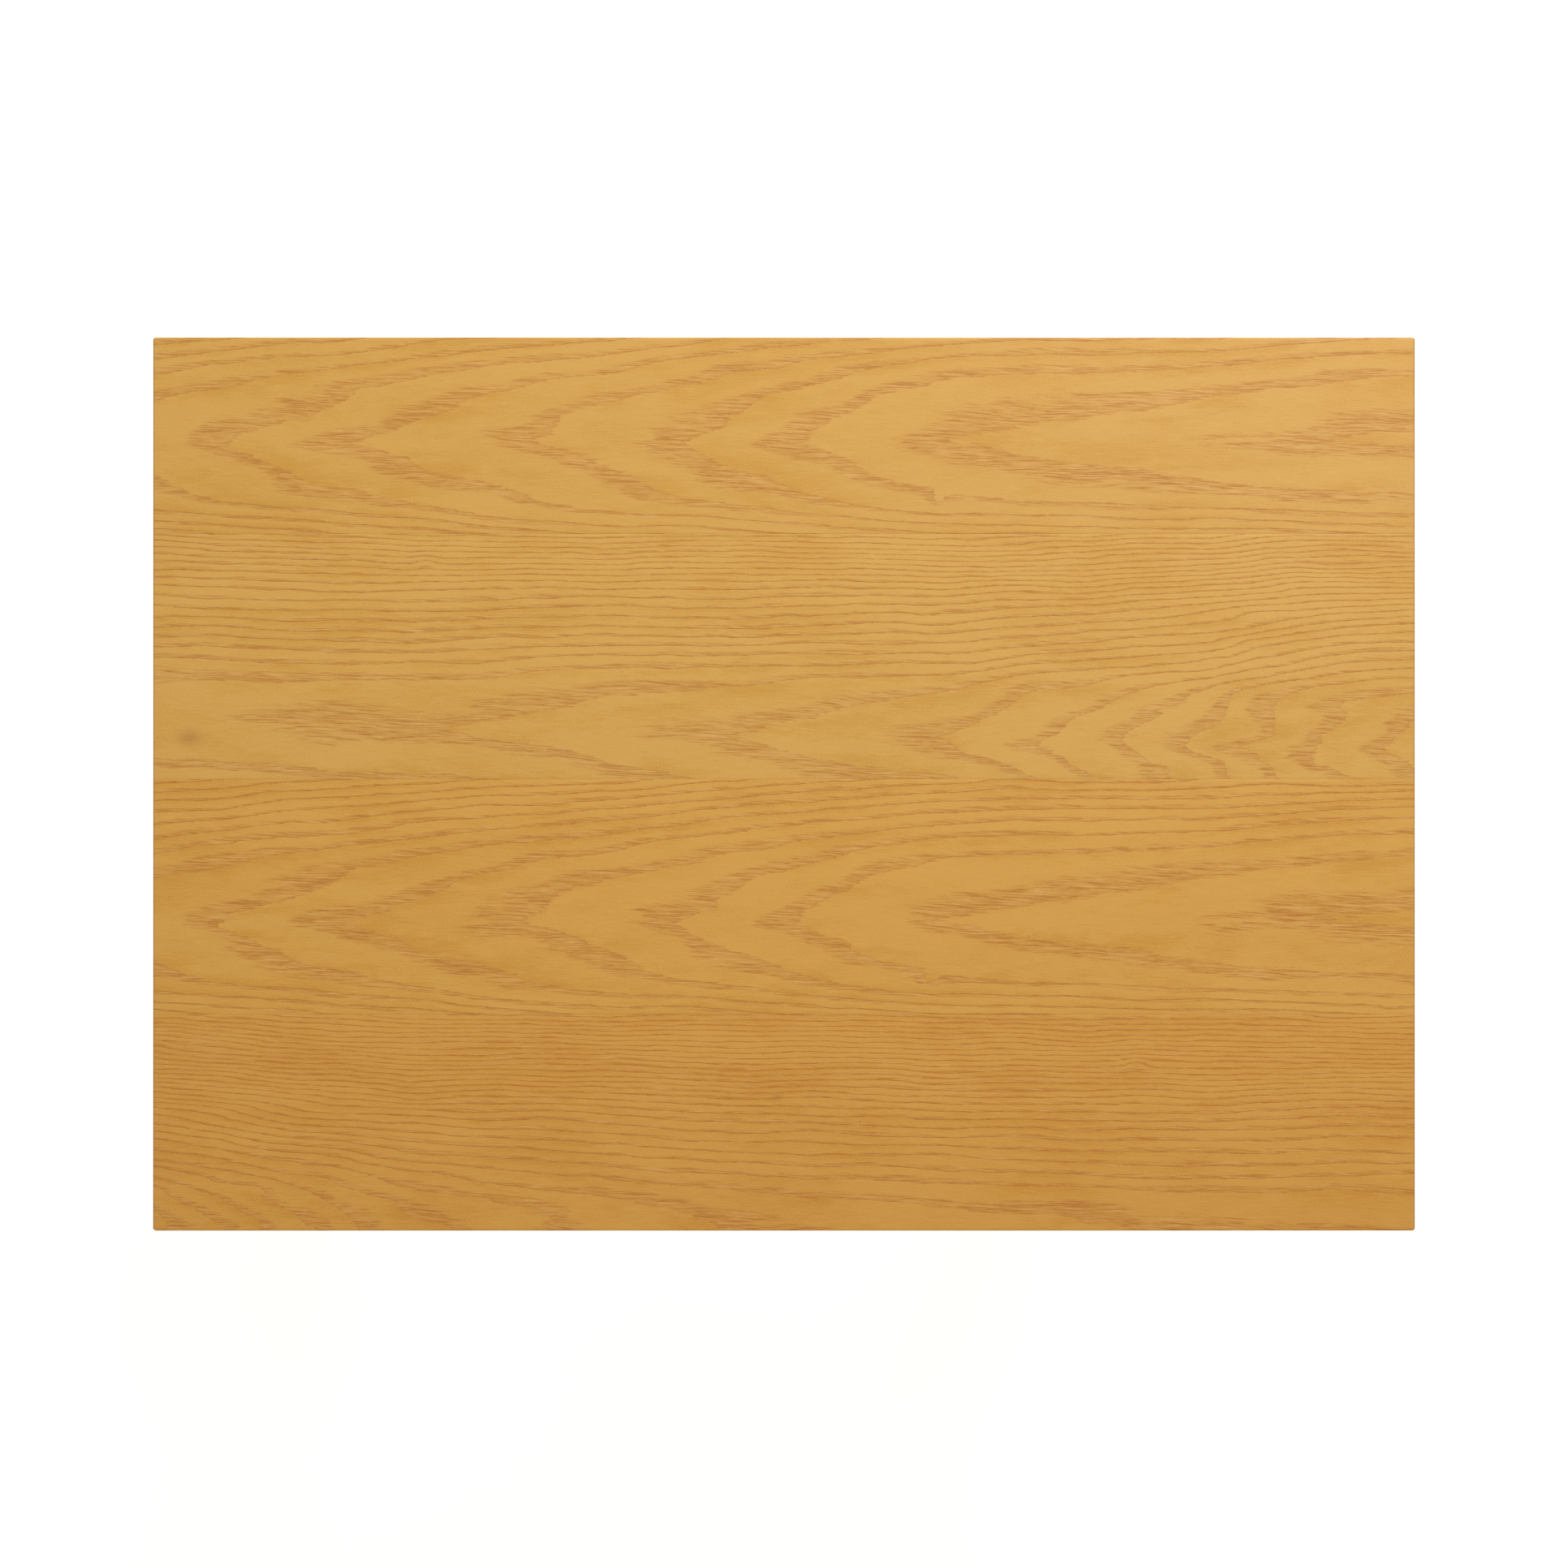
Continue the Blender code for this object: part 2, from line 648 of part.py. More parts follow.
def make_cheek(side, sign, place, near, far):
    """One of the two uprights that hold the post, the spacer and the foot between them."""
    name = f"cheek_{place}_{side}"
    cheek = bevel(slab(name, round_headed(CHEEK_BOTTOM, CHEEK_TOP), sign * near, sign * far, ASH), 0.0015)
    low, high = min(near, far) - CUTTER_REACH, max(near, far) + CUTTER_REACH
    span = (sign * low, sign * high)
    holes = [rod_cutter(DOWEL_RADIUS + GAP, *span, y, z) for y, z in dowel_places().values()]
    holes += [rod_cutter(M8_HOLE, *span, 0, z) for z in (CLAMP_Z, GUIDE_Z, stretcher_z())]
    return cut(cheek, *holes)


def make_spacer(side, sign):
    """The block that keeps the cheeks apart under the post."""
    half = MEMBER_DEPTH / 2
    low_x, high_x = sorted((sign * POST_INNER, sign * POST_OUTER))
    spacer = box(f"spacer_block_{side}", (low_x, -half, FOOT_TOP + GAP), (high_x, half, SPACER_TOP), ASH)
    bevel(spacer, 0.001)
    reach = CUTTER_REACH
    return cut(spacer, rod_cutter(M8_HOLE, low_x - reach, high_x + reach, 0, stretcher_z()))


def make_stretcher():
    """The deep rail that joins the two trestles, and that the feet rest on."""
    half = CHEEK_IN_FAR - GAP
    deep = STRETCHER_THICKNESS / 2
    stretcher = box("stretcher", (-half, -deep, STRETCHER_BOTTOM), (half, deep, STRETCHER_TOP), ASH)
    bevel(stretcher, 0.0015)
    for sign in SIDES.values():
        mouth, end = sign * (half + 0.01), sign * (half - BARREL_INSET - 0.012)
        cut(stretcher, rod_cutter(M8_HOLE, mouth, end, 0, stretcher_z()))
        x = sign * (half - BARREL_INSET)
        cut(stretcher, cross_cutter(BARREL_RADIUS + GAP, -CUTTER_REACH, CUTTER_REACH, x, stretcher_z()))
    return stretcher


def make_frame_bolt(side, sign):
    """The long bolt through a column into the stretcher, and the barrel nut that it pulls on."""
    head = CHEEK_OUT_FAR + GAP
    barrel_x = CHEEK_IN_FAR - GAP - BARREL_INSET
    bore = (sign * (barrel_x - CUTTER_REACH), sign * (barrel_x + CUTTER_REACH))
    tip = barrel_x - 0.009
    profile = [
        (head + 0.003, 0),
        (head + 0.003, 0.0065),
        (head + 0.0022, 0.0075),
        (head, 0.0078),
        (head, M8),
        (tip, M8),
        (tip, 0),
    ]
    bolt = turned(f"frame_bolt_{side}", profile, sign, 0, 0, stretcher_z(), ZINC)
    bpy.ops.mesh.primitive_cylinder_add(
        vertices=ROUND_SIDES,
        radius=BARREL_RADIUS,
        depth=BARREL_LENGTH,
        location=(sign * barrel_x, 0, stretcher_z()),
        rotation=(math.pi / 2, 0, 0),
    )
    nut = adopt(bpy.context.active_object, f"barrel_nut_{side}", ZINC)
    cut(nut, rod_cutter(M8_HOLE, *bore, 0, stretcher_z()))
    return [bolt, nut]


def make_height_bolt(side, sign):
    """The carriage bolt that the height knob screws onto, its dome on the inner cheek."""
    head = CHEEK_IN_FAR - GAP
    tip = CHEEK_OUT_FAR + GAP + WASHER + GAP + KNOB_BORE_DEPTH - 0.001
    profile = [
        (tip, 0),
        (tip, M8 - 0.001),
        (tip - 0.001, M8),
        (head, M8),
        (head, DOME_RADIUS),
        (head - DOME_HEIGHT * 0.35, DOME_RADIUS * 0.93),
        (head - DOME_HEIGHT * 0.8, DOME_RADIUS * 0.6),
        (head - DOME_HEIGHT, 0),
    ]
    return turned(f"height_bolt_{side}", profile, sign, 0, 0, CLAMP_Z, ZINC)


def make_guide_pin(side, sign):
    """The steel pin that keeps the post upright below its clamp."""
    inner, outer = CHEEK_IN_FAR + 0.001, CHEEK_OUT_FAR - 0.001
    return rod(f"guide_pin_{side}", M8, sign * inner, sign * outer, 0, GUIDE_Z, ZINC)


def make_dowel(side, sign, place):
    """A hardwood dowel through both cheeks and the foot, sanded flush."""
    y, z = dowel_places()[place]
    span = (sign * CHEEK_IN_FAR, sign * CHEEK_OUT_FAR)
    return rod(f"foot_dowel_{place}_{side}", DOWEL_RADIUS, *span, y, z, PALE_ASH)


def make_glide(side, sign, place, y):
    """A moulded glide under one end of a foot."""
    bpy.ops.mesh.primitive_cone_add(
        vertices=ROUND_SIDES,
        radius1=GLIDE_RADIUS,
        radius2=GLIDE_RADIUS - 0.0015,
        depth=GLIDE_HEIGHT - GAP,
        location=(sign * COLUMN_X, y, (GLIDE_HEIGHT - GAP) / 2),
    )
    glide = adopt(bpy.context.active_object, f"glide_{place}_{side}", BLACK_PLASTIC)
    smooth(glide)
    return glide


# ---------------------------------------------------------------- the whole table
def build():
    """Builds every piece, and hangs the moving ones on their joints' axes."""
    lift_axis = axis_empty("lift_axis", (0, 0, POST_BOTTOM))
    tilt_axis = axis_empty("tilt_axis", (0, 0, PIVOT_Z))
    board = make_board()
    frame = [make_cross_rail()]
    make_stretcher()
    for side, sign in SIDES.items():
        board += [make_batten(side, sign), make_quadrant(side, sign)]
        frame += [make_post(side, sign), make_rail_bolt(side, sign), make_insert(side, sign)]
        frame += make_pivot(side, sign)
        make_foot(side, sign)
        make_cheek(side, sign, "inner", CHEEK_IN_FAR, CHEEK_IN_NEAR)
        make_cheek(side, sign, "outer", CHEEK_OUT_NEAR, CHEEK_OUT_FAR)
        make_spacer(side, sign)
        make_frame_bolt(side, sign)
        make_height_bolt(side, sign)
        make_guide_pin(side, sign)
        for place, y in (("front", -GLIDE_Y), ("back", GLIDE_Y)):
            make_dowel(side, sign, place)
            make_glide(side, sign, place, y)
        for kind, height, make in (
            ("tilt", TILT_CLAMP_Z, make_tilt_knob),
            ("height", CLAMP_Z, make_height_knob),
        ):
            knob_axis = axis_empty(f"{kind}_knob_axis_{side}", (sign * COLUMN_X, 0, height))
            washer, turning = make(side, sign)
            hang_on(knob_axis, [washer, *turning])
    hang_on(tilt_axis, board)
    hang_on(lift_axis, frame)


clear_scene()
TABLE = make_collection("drafting_table")
CUTTERS = make_collection("cutters")
ASH = make_material("honey_ash", (0.60, 0.33, 0.10), 0.42)
PALE_ASH = make_material("dowel_ash", (0.66, 0.42, 0.17), 0.5)
BOARD_CORE = make_material("core_board", (0.50, 0.36, 0.20), 0.8)
BLACK_STEEL = make_material("black_steel", (0.02, 0.02, 0.02), 0.5, 0.4)
ZINC = make_material("zinc_steel", (0.62, 0.62, 0.60), 0.35, 1.0)
BRASS = make_material("brass", (0.72, 0.52, 0.20), 0.35, 1.0)
NYLON = make_material("nylon", (0.85, 0.84, 0.80), 0.5)
BLACK_PLASTIC = make_material("black_plastic", (0.015, 0.015, 0.015), 0.45)
build()
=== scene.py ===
"""Looks of a wooden drafting table: veneered board, solid ash trestles and their hardware."""

import logging
import math
from collections.abc import Iterable
from dataclasses import dataclass
from enum import Enum

import bmesh
import bpy
import numpy as np
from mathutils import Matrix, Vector
from mathutils.geometry import tessellate_polygon


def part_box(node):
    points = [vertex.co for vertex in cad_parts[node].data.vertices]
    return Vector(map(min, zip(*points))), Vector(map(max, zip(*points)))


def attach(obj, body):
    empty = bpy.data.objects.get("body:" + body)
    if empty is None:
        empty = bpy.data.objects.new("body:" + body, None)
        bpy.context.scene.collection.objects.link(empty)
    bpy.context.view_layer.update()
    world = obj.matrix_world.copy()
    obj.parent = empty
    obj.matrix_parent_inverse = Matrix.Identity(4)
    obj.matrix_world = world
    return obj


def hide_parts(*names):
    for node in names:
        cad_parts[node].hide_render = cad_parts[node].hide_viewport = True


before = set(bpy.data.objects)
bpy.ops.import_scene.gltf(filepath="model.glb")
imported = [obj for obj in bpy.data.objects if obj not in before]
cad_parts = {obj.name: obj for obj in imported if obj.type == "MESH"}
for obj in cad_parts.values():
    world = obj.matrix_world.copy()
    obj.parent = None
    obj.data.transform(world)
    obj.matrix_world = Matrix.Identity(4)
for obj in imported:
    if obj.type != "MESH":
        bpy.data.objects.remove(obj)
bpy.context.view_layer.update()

Array = np.ndarray
Point = tuple[float, float, float]
Colour = tuple[float, float, float]
LOG = logging.getLogger("drafting_table")
SIDES = {"left": -1, "right": 1}
MM = 0.001
WELD = 1e-7  # metres, for points that a grid gives twice
BORE = 0.0043  # radius of a clearance bore for an M8 bolt
SHANK = 0.004  # radius of an M8 bolt
PITCH = 0.00125  # of an M8 thread
THREAD_DEPTH = 0.0006
THREAD_END = 0.0125  # how far a pivot bolt's thread reaches from its end
DOME = 0.0095  # radius of a domed bolt head
DOME_TALL = 0.0045  # its height
THREAD_STEP = 0.000208  # between the rings of points that carry a thread
SLOT_HALF = 0.0045  # half the width of every slot


class Axes(Enum):
    """Which world axes an outline's two coordinates and its thickness lie on."""

    YZ_X = (1, 2, 0)
    XZ_Y = (0, 2, 1)
    XY_Z = (0, 1, 2)


class Section(Enum):
    """The cross-section of a turned or moulded piece at one station."""

    ROUND = "round"
    STAR = "star"
    HEXAGON = "hexagon"
    CROSS = "cross"


# ---------------------------------------------------------------- surfaces
def place(name: str) -> tuple[Vector, Vector, Vector]:
    """Reads where a CAD node is.

    Args:
        name: The node's name.

    Returns:
        Its lowest corner, its highest corner and its centre, in metres.
    """
    low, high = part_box(name)
    return low, high, (low + high) / 2


def grid_faces(rows: int, columns: int, close_rows: bool, close_columns: bool) -> Array:
    """Joins a grid of points, numbered row by row, with quads.

    Args:
        rows: How many rows of points there are.
        columns: How many points each row has.
        close_rows: Whether the last row joins the first.
        close_columns: Whether the last point of a row joins its first.

    Returns:
        Quads as an (n, 4) array of point numbers.
    """
    i = np.arange(rows if close_rows else rows - 1)[:, None]
    j = np.arange(columns if close_columns else columns - 1)[None, :]
    down, along = (i + 1) % rows, (j + 1) % columns
    corners = (i * columns + j, i * columns + along, down * columns + along, down * columns + j)
    return np.stack([np.broadcast_to(c, (i.size, j.size)) for c in corners], axis=-1).reshape(-1, 4)


def make_object(name: str, points: Array, faces: list, sharp_deg: float = 32.0) -> bpy.types.Object:
    """Makes a closed, welded, outward-facing mesh object at the origin.

    Args:
        name: The piece's name.
        points: An (n, 3) array of world points.
        faces: Lists of point numbers.
        sharp_deg: Edges that turn more than this are shaded as sharp.

    Returns:
        The new object.
    """
    mesh = bpy.data.meshes.new(name)
    mesh.from_pydata(points.tolist(), [], faces)
    edit = bmesh.new()
    edit.from_mesh(mesh)
    bmesh.ops.remove_doubles(edit, verts=edit.verts, dist=WELD)
    bmesh.ops.dissolve_degenerate(edit, edges=edit.edges, dist=WELD)
    bmesh.ops.recalc_face_normals(edit, faces=edit.faces)
    edit.to_mesh(mesh)
    edit.free()
    mesh.shade_smooth()
    mesh.set_sharp_from_angle(angle=math.radians(sharp_deg))
    obj = bpy.data.objects.new(name, mesh)
    bpy.context.scene.collection.objects.link(obj)
    return obj


def finish_piece(
    piece: bpy.types.Object, body: str, slot: str, material: bpy.types.Material, nodes: tuple[str, ...] = ()
) -> bpy.types.Object:
    """Dresses a piece, hangs it on its body, hides the CAD nodes that it stands for and logs its slot.

    Args:
        piece: The finished object.
        body: The CAD body that it moves with.
        slot: The material slot that the log names.
        material: Its material.
        nodes: The CAD nodes that it replaces.

    Returns:
        The same object.
    """
    piece.data.materials.clear()
    piece.data.materials.append(material)
    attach(piece, body)
    if nodes:
        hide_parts(*nodes)
    LOG.info("%s rides on %s as %s", piece.name, body, slot)
    return piece


def dress_node(name: str, material: bpy.types.Material) -> None:
    """Gives a CAD node that stays as it is its material."""
    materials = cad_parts[name].data.materials
    materials.clear()
    materials.append(material)


def arc(centre: tuple[float, float], radius: float, start: float, end: float, steps: int) -> Array:
    """Points along an arc: centre plus radius times (cos, sin) of evenly spaced angles in degrees."""
    angles = np.radians(np.linspace(start, end, steps + 1))
    return np.stack([centre[0] + radius * np.cos(angles), centre[1] + radius * np.sin(angles)], axis=1)


def circle(centre: tuple[float, float], radius: float, steps: int = 40) -> Array:
    """A closed circle of points, anticlockwise."""
    return arc(centre, radius, 0, 360 * (1 - 1 / steps), steps - 1)


def rectangle(low: tuple[float, float], high: tuple[float, float]) -> Array:
    """A rectangle, anticlockwise."""
    (x0, y0), (x1, y1) = low, high
    return np.array([(x0, y0), (x1, y0), (x1, y1), (x0, y1)])


def signed_area(loop: Array) -> float:
    """Half the sum of cross products of successive points: positive where they run anticlockwise."""
    nxt = np.roll(loop, -1, axis=0)
    return float(np.sum(loop[:, 0] * nxt[:, 1] - nxt[:, 0] * loop[:, 1]) / 2)


@dataclass(frozen=True)
class Slab:
    """A flat piece: an outline with holes, as thick as from low to high, its arrises rounded.

    Attributes:
        outline: (n, 2) points of the outer edge.
        holes: Outlines of the holes.
        low: Where the thickness starts.
        high: Where it ends.
        arris: Radius of the rounded arrises.
        axes: Which world axes the outline and the thickness lie on.
        steps: Facets across a quarter round.
    """

    outline: Array
    low: float
    high: float
    arris: float
    axes: Axes = Axes.YZ_X
    holes: tuple[Array, ...] = ()
    steps: int = 4

    def profile(self) -> tuple[Array, Array]:
        """A quarter round, a straight side and a quarter round: inset and height at each station."""
        turn = np.linspace(0, math.pi / 2, self.steps + 1)
        inset = self.arris * (1 - np.sin(turn))
        rise = self.arris * (1 - np.cos(turn))
        insets = np.concatenate([inset, inset[::-1]])
        heights = np.concatenate([self.low + rise, self.high - rise[::-1]])
        return insets, heights

    def wall(self, loop: Array, outer: bool) -> Array:
        """Carries one loop through the profile.

        A point is the loop's point less the inset times the mitre of the two edges that meet there.
        The mitre is the sum of the two edge normals over one plus their dot product.

        Args:
            loop: The (n, 2) loop.
            outer: True for the outer edge, false for a hole.

        Returns:
            An (n, stations, 3) grid of outline coordinates and height.
        """
        if (signed_area(loop) > 0) != outer:
            loop = loop[::-1]
        edge = np.roll(loop, -1, axis=0) - loop
        edge /= np.linalg.norm(edge, axis=1, keepdims=True)
        normal = np.stack([edge[:, 1], -edge[:, 0]], axis=1)
        before = np.roll(normal, 1, axis=0)
        mitre = (normal + before) / (1 + np.sum(normal * before, axis=1, keepdims=True))
        insets, heights = self.profile()
        flat = loop[:, None, :] - insets[None, :, None] * mitre[:, None, :]
        tall = np.broadcast_to(heights[None, :, None], (len(loop), len(heights), 1))
        return np.concatenate([flat, tall], axis=2)

    def build(self, name: str) -> bpy.types.Object:
        """Builds the walls as grids and closes both faces round the holes.

        Args:
            name: The piece's name.

        Returns:
            The new object.
        """
        walls = [self.wall(self.outline, True)] + [self.wall(hole, False) for hole in self.holes]
        stations = walls[0].shape[1]
        starts = np.cumsum([0] + [wall.shape[0] * stations for wall in walls])
        faces: list = []
        for wall, start in zip(walls, starts):
            faces += (grid_faces(wall.shape[0], stations, True, False) + start).tolist()
        for station in (0, stations - 1):
            rims = [[Vector((*point[:2], 0)) for point in wall[:, station]] for wall in walls]
            numbers = np.concatenate(
                [start + np.arange(wall.shape[0]) * stations + station for wall, start in zip(walls, starts)]
            )
            faces += [[int(numbers[k]) for k in triangle] for triangle in tessellate_polygon(rims)]
        local = np.concatenate([wall.reshape(-1, 3) for wall in walls])
        points = np.zeros_like(local)
        points[:, list(self.axes.value)] = local
        piece = make_object(name, points, faces)
        sharpen_flats(piece, self.axes.value[2])
        return piece


def sharpen_flats(piece: bpy.types.Object, axis: int) -> None:
    """Marks the rim of each flat face sharp, so that a flat face is shaded flat.

    Args:
        piece: The object to mark.
        axis: The world axis that the flat faces are square to.
    """
    edit = bmesh.new()
    edit.from_mesh(piece.data)
    for edge in edit.edges:
        flat = [abs(face.normal[axis]) > 0.9999 for face in edge.link_faces]
        if any(flat) and not all(flat):
            edge.smooth = False
    edit.to_mesh(piece.data)
    edit.free()


@dataclass(frozen=True)
class Station:
    """One ring of a turned or moulded piece: how far along, its radius and its cross-section."""

    along: float
    radius: float
    section: Section = Section.ROUND
    depth: float = 1.0


def section_shape(section: Section, depth: float, angle: Array) -> Array:
    """How a cross-section's radius varies round its axis.

    A star swells and shrinks with the cosine of five times the angle. A hexagon's radius is its
    apothem over the cosine of the angle to the nearest flat. A cross narrows as the cosine of twice
    the angle nears zero.

    Args:
        section: The kind of cross-section.
        depth: How much of its shape shows, from 0 to 1.
        angle: Angles round the axis.

    Returns:
        Factors on the radius, as long as angle.
    """
    if section is Section.STAR:
        shape = 0.88 + 0.12 * np.cos(5 * angle)
    elif section is Section.HEXAGON:
        sector = math.pi / 3
        shape = math.cos(sector / 2) / np.cos((angle + sector / 2) % sector - sector / 2)
    elif section is Section.CROSS:
        shape = 0.3 + 0.7 * np.abs(np.cos(2 * angle)) ** 3
    else:
        shape = np.ones_like(angle)
    return 1 + (shape - 1) * depth


def dome_cap(length: float) -> list[Station]:
    """Cross-sections of the rounded head that ends a bolt of a given length, from its rim to its crown."""
    turns = np.radians(range(0, 91, 10))
    return [Station(length - DOME_TALL * (1 - math.sin(t)), DOME * math.cos(t)) for t in turns]


@dataclass(frozen=True)
class Revolved:
    """A turned or moulded piece round an axis.

    A point is the origin, plus the station's distance along the axis, plus the station's radius times
    its cross-section's factor, turned by the angle.

    Attributes:
        origin: A point on the axis that distances start from.
        axis: The axis, as a unit vector.
        stations: The profile, from one end to the other.
        sides: Facets round the axis.
    """

    origin: Point
    axis: Point
    stations: tuple[Station, ...]
    sides: int = 48

    def build(self, name: str) -> bpy.types.Object:
        """Builds the grid of stations by angles, closed at both ends.

        Args:
            name: The piece's name.

        Returns:
            The new object.
        """
        axis = np.array(self.axis, float)
        across = np.cross(axis, (0, 0, 1) if abs(axis[2]) < 0.5 else (1, 0, 0))
        third = np.cross(axis, across)
        angle = np.linspace(0, 2 * math.pi, self.sides, endpoint=False)
        along = np.array([s.along for s in self.stations])[:, None]
        radius = np.array([s.radius * section_shape(s.section, s.depth, angle) for s in self.stations])
        ring = np.cos(angle)[:, None] * across + np.sin(angle)[:, None] * third
        points = np.array(self.origin) + along[:, :, None] * axis + radius[:, :, None] * ring[None]
        rows = len(self.stations)
        faces = grid_faces(rows, self.sides, False, True).tolist()
        for row in (0, rows - 1):
            if self.stations[row].radius > 0:
                faces.append(list(range(row * self.sides, (row + 1) * self.sides)))
        return make_object(name, points.reshape(-1, 3), faces)


def lattice(x: Array, y: Array, seed: int) -> Array:
    """Smooth noise from -1 to 1: random values on a unit lattice, blended by smoothstep between them.

    Args:
        x: Positions along the lattice's rows.
        y: Positions across them.
        seed: Seeds the values.

    Returns:
        Noise, shaped like x and y.
    """
    table = np.random.default_rng(seed).uniform(-1, 1, (64, 64))
    column, row = np.floor(x).astype(int), np.floor(y).astype(int)
    u, v = x - column, y - row
    u, v = u * u * (3 - 2 * u), v * v * (3 - 2 * v)

    def value(i: int, j: int) -> Array:
        """The lattice's value at a cell's corner."""
        return table[(row + j) % 64, (column + i) % 64]

    low = value(0, 0) * (1 - u) + value(1, 0) * u
    high = value(0, 1) * (1 - u) + value(1, 1) * u
    return low * (1 - v) + high * v


# ---------------------------------------------------------------- shader graphs
Socket = bpy.types.NodeSocket


class Graph:
    """A node tree under construction, with a short method for each kind of node it uses."""

    def __init__(self, tree: bpy.types.NodeTree) -> None:
        """Keeps the tree that nodes are added to."""
        self.tree = tree

    def add(self, kind: str, values: dict, **settings) -> bpy.types.Node:
        """Adds a node.

        Args:
            kind: The node's type.
            values: Input name or number to a constant or to a socket that feeds it.
            settings: The node's own properties.

        Returns:
            The new node.
        """
        node = self.tree.nodes.new(kind)
        for name, value in settings.items():
            setattr(node, name, value)
        self.feed(node, values)
        return node

    def feed(self, node: bpy.types.Node, values: dict) -> None:
        """Sets each of a node's inputs to its constant, or links its socket to it."""
        for key, value in values.items():
            if isinstance(value, bpy.types.NodeSocket):
                self.tree.links.new(value, node.inputs[key])
            else:
                node.inputs[key].default_value = value

    def math(self, operation: str, *values) -> Socket:
        """A Math node's result."""
        return self.add("ShaderNodeMath", dict(enumerate(values)), operation=operation).outputs[0]

    def noise(self, vector: Socket, scale, detail: float = 2.0, rough: float = 0.5) -> Socket:
        """A Noise Texture's value."""
        values = {"Vector": vector, "Scale": scale, "Detail": detail, "Roughness": rough}
        return self.add("ShaderNodeTexNoise", values).outputs["Fac"]

    def stretch(self, vector: Socket, scale: Point, shift: Point = (0, 0, 0)) -> Socket:
        """A vector scaled on each axis, then shifted."""
        values = {"Vector": vector, "Scale": scale, "Location": shift}
        return self.add("ShaderNodeMapping", values).outputs[0]

    def ramp(self, value: Socket, start, end, low=0.0, high=1.0) -> Socket:
        """A smooth step from low at start to high at end."""
        values = {0: value, 1: start, 2: end, 3: low, 4: high}
        return self.add("ShaderNodeMapRange", values, interpolation_type="SMOOTHSTEP").outputs[0]

    def drawn(self, vector: Socket, scale: Point, detail: float = 2.0, rough: float = 0.5) -> Socket:
        """Noise with a scale of its own on each axis."""
        return self.noise(self.stretch(vector, scale), 1.0, detail, rough)

    def mix(self, factor, first, second) -> Socket:
        """Two colours mixed."""
        return self.add("ShaderNodeMix", {0: factor, 6: first, 7: second}, data_type="RGBA").outputs[2]

    def object_vector(self) -> Socket:
        """The piece's own coordinates, in metres."""
        return self.add("ShaderNodeTexCoord", {}).outputs["Object"]

    def bump(self, height: Socket, strength: float, distance: float) -> Socket:
        """A normal bent by a height."""
        values = {"Height": height, "Strength": strength, "Distance": distance}
        return self.add("ShaderNodeBump", values).outputs[0]


def new_group(name: str, inputs: dict[str, str], outputs: dict[str, str]) -> tuple:
    """Starts a shader node group.

    Args:
        name: The group's name.
        inputs: Input name to socket type.
        outputs: Output name to socket type.

    Returns:
        The group, its graph, its input sockets and its output node.
    """
    tree = bpy.data.node_groups.new(name, "ShaderNodeTree")
    for direction, sockets in (("INPUT", inputs), ("OUTPUT", outputs)):
        for label, kind in sockets.items():
            tree.interface.new_socket(label, in_out=direction, socket_type="NodeSocket" + kind)
    graph = Graph(tree)
    source = tree.nodes.new("NodeGroupInput")
    sink = tree.nodes.new("NodeGroupOutput")
    return tree, graph, source.outputs, sink


def close_group(graph: Graph, sink: bpy.types.Node, results: dict[str, Socket]) -> None:
    """Links a group's results to its outputs."""
    for name, socket in results.items():
        graph.tree.links.new(socket, sink.inputs[name])


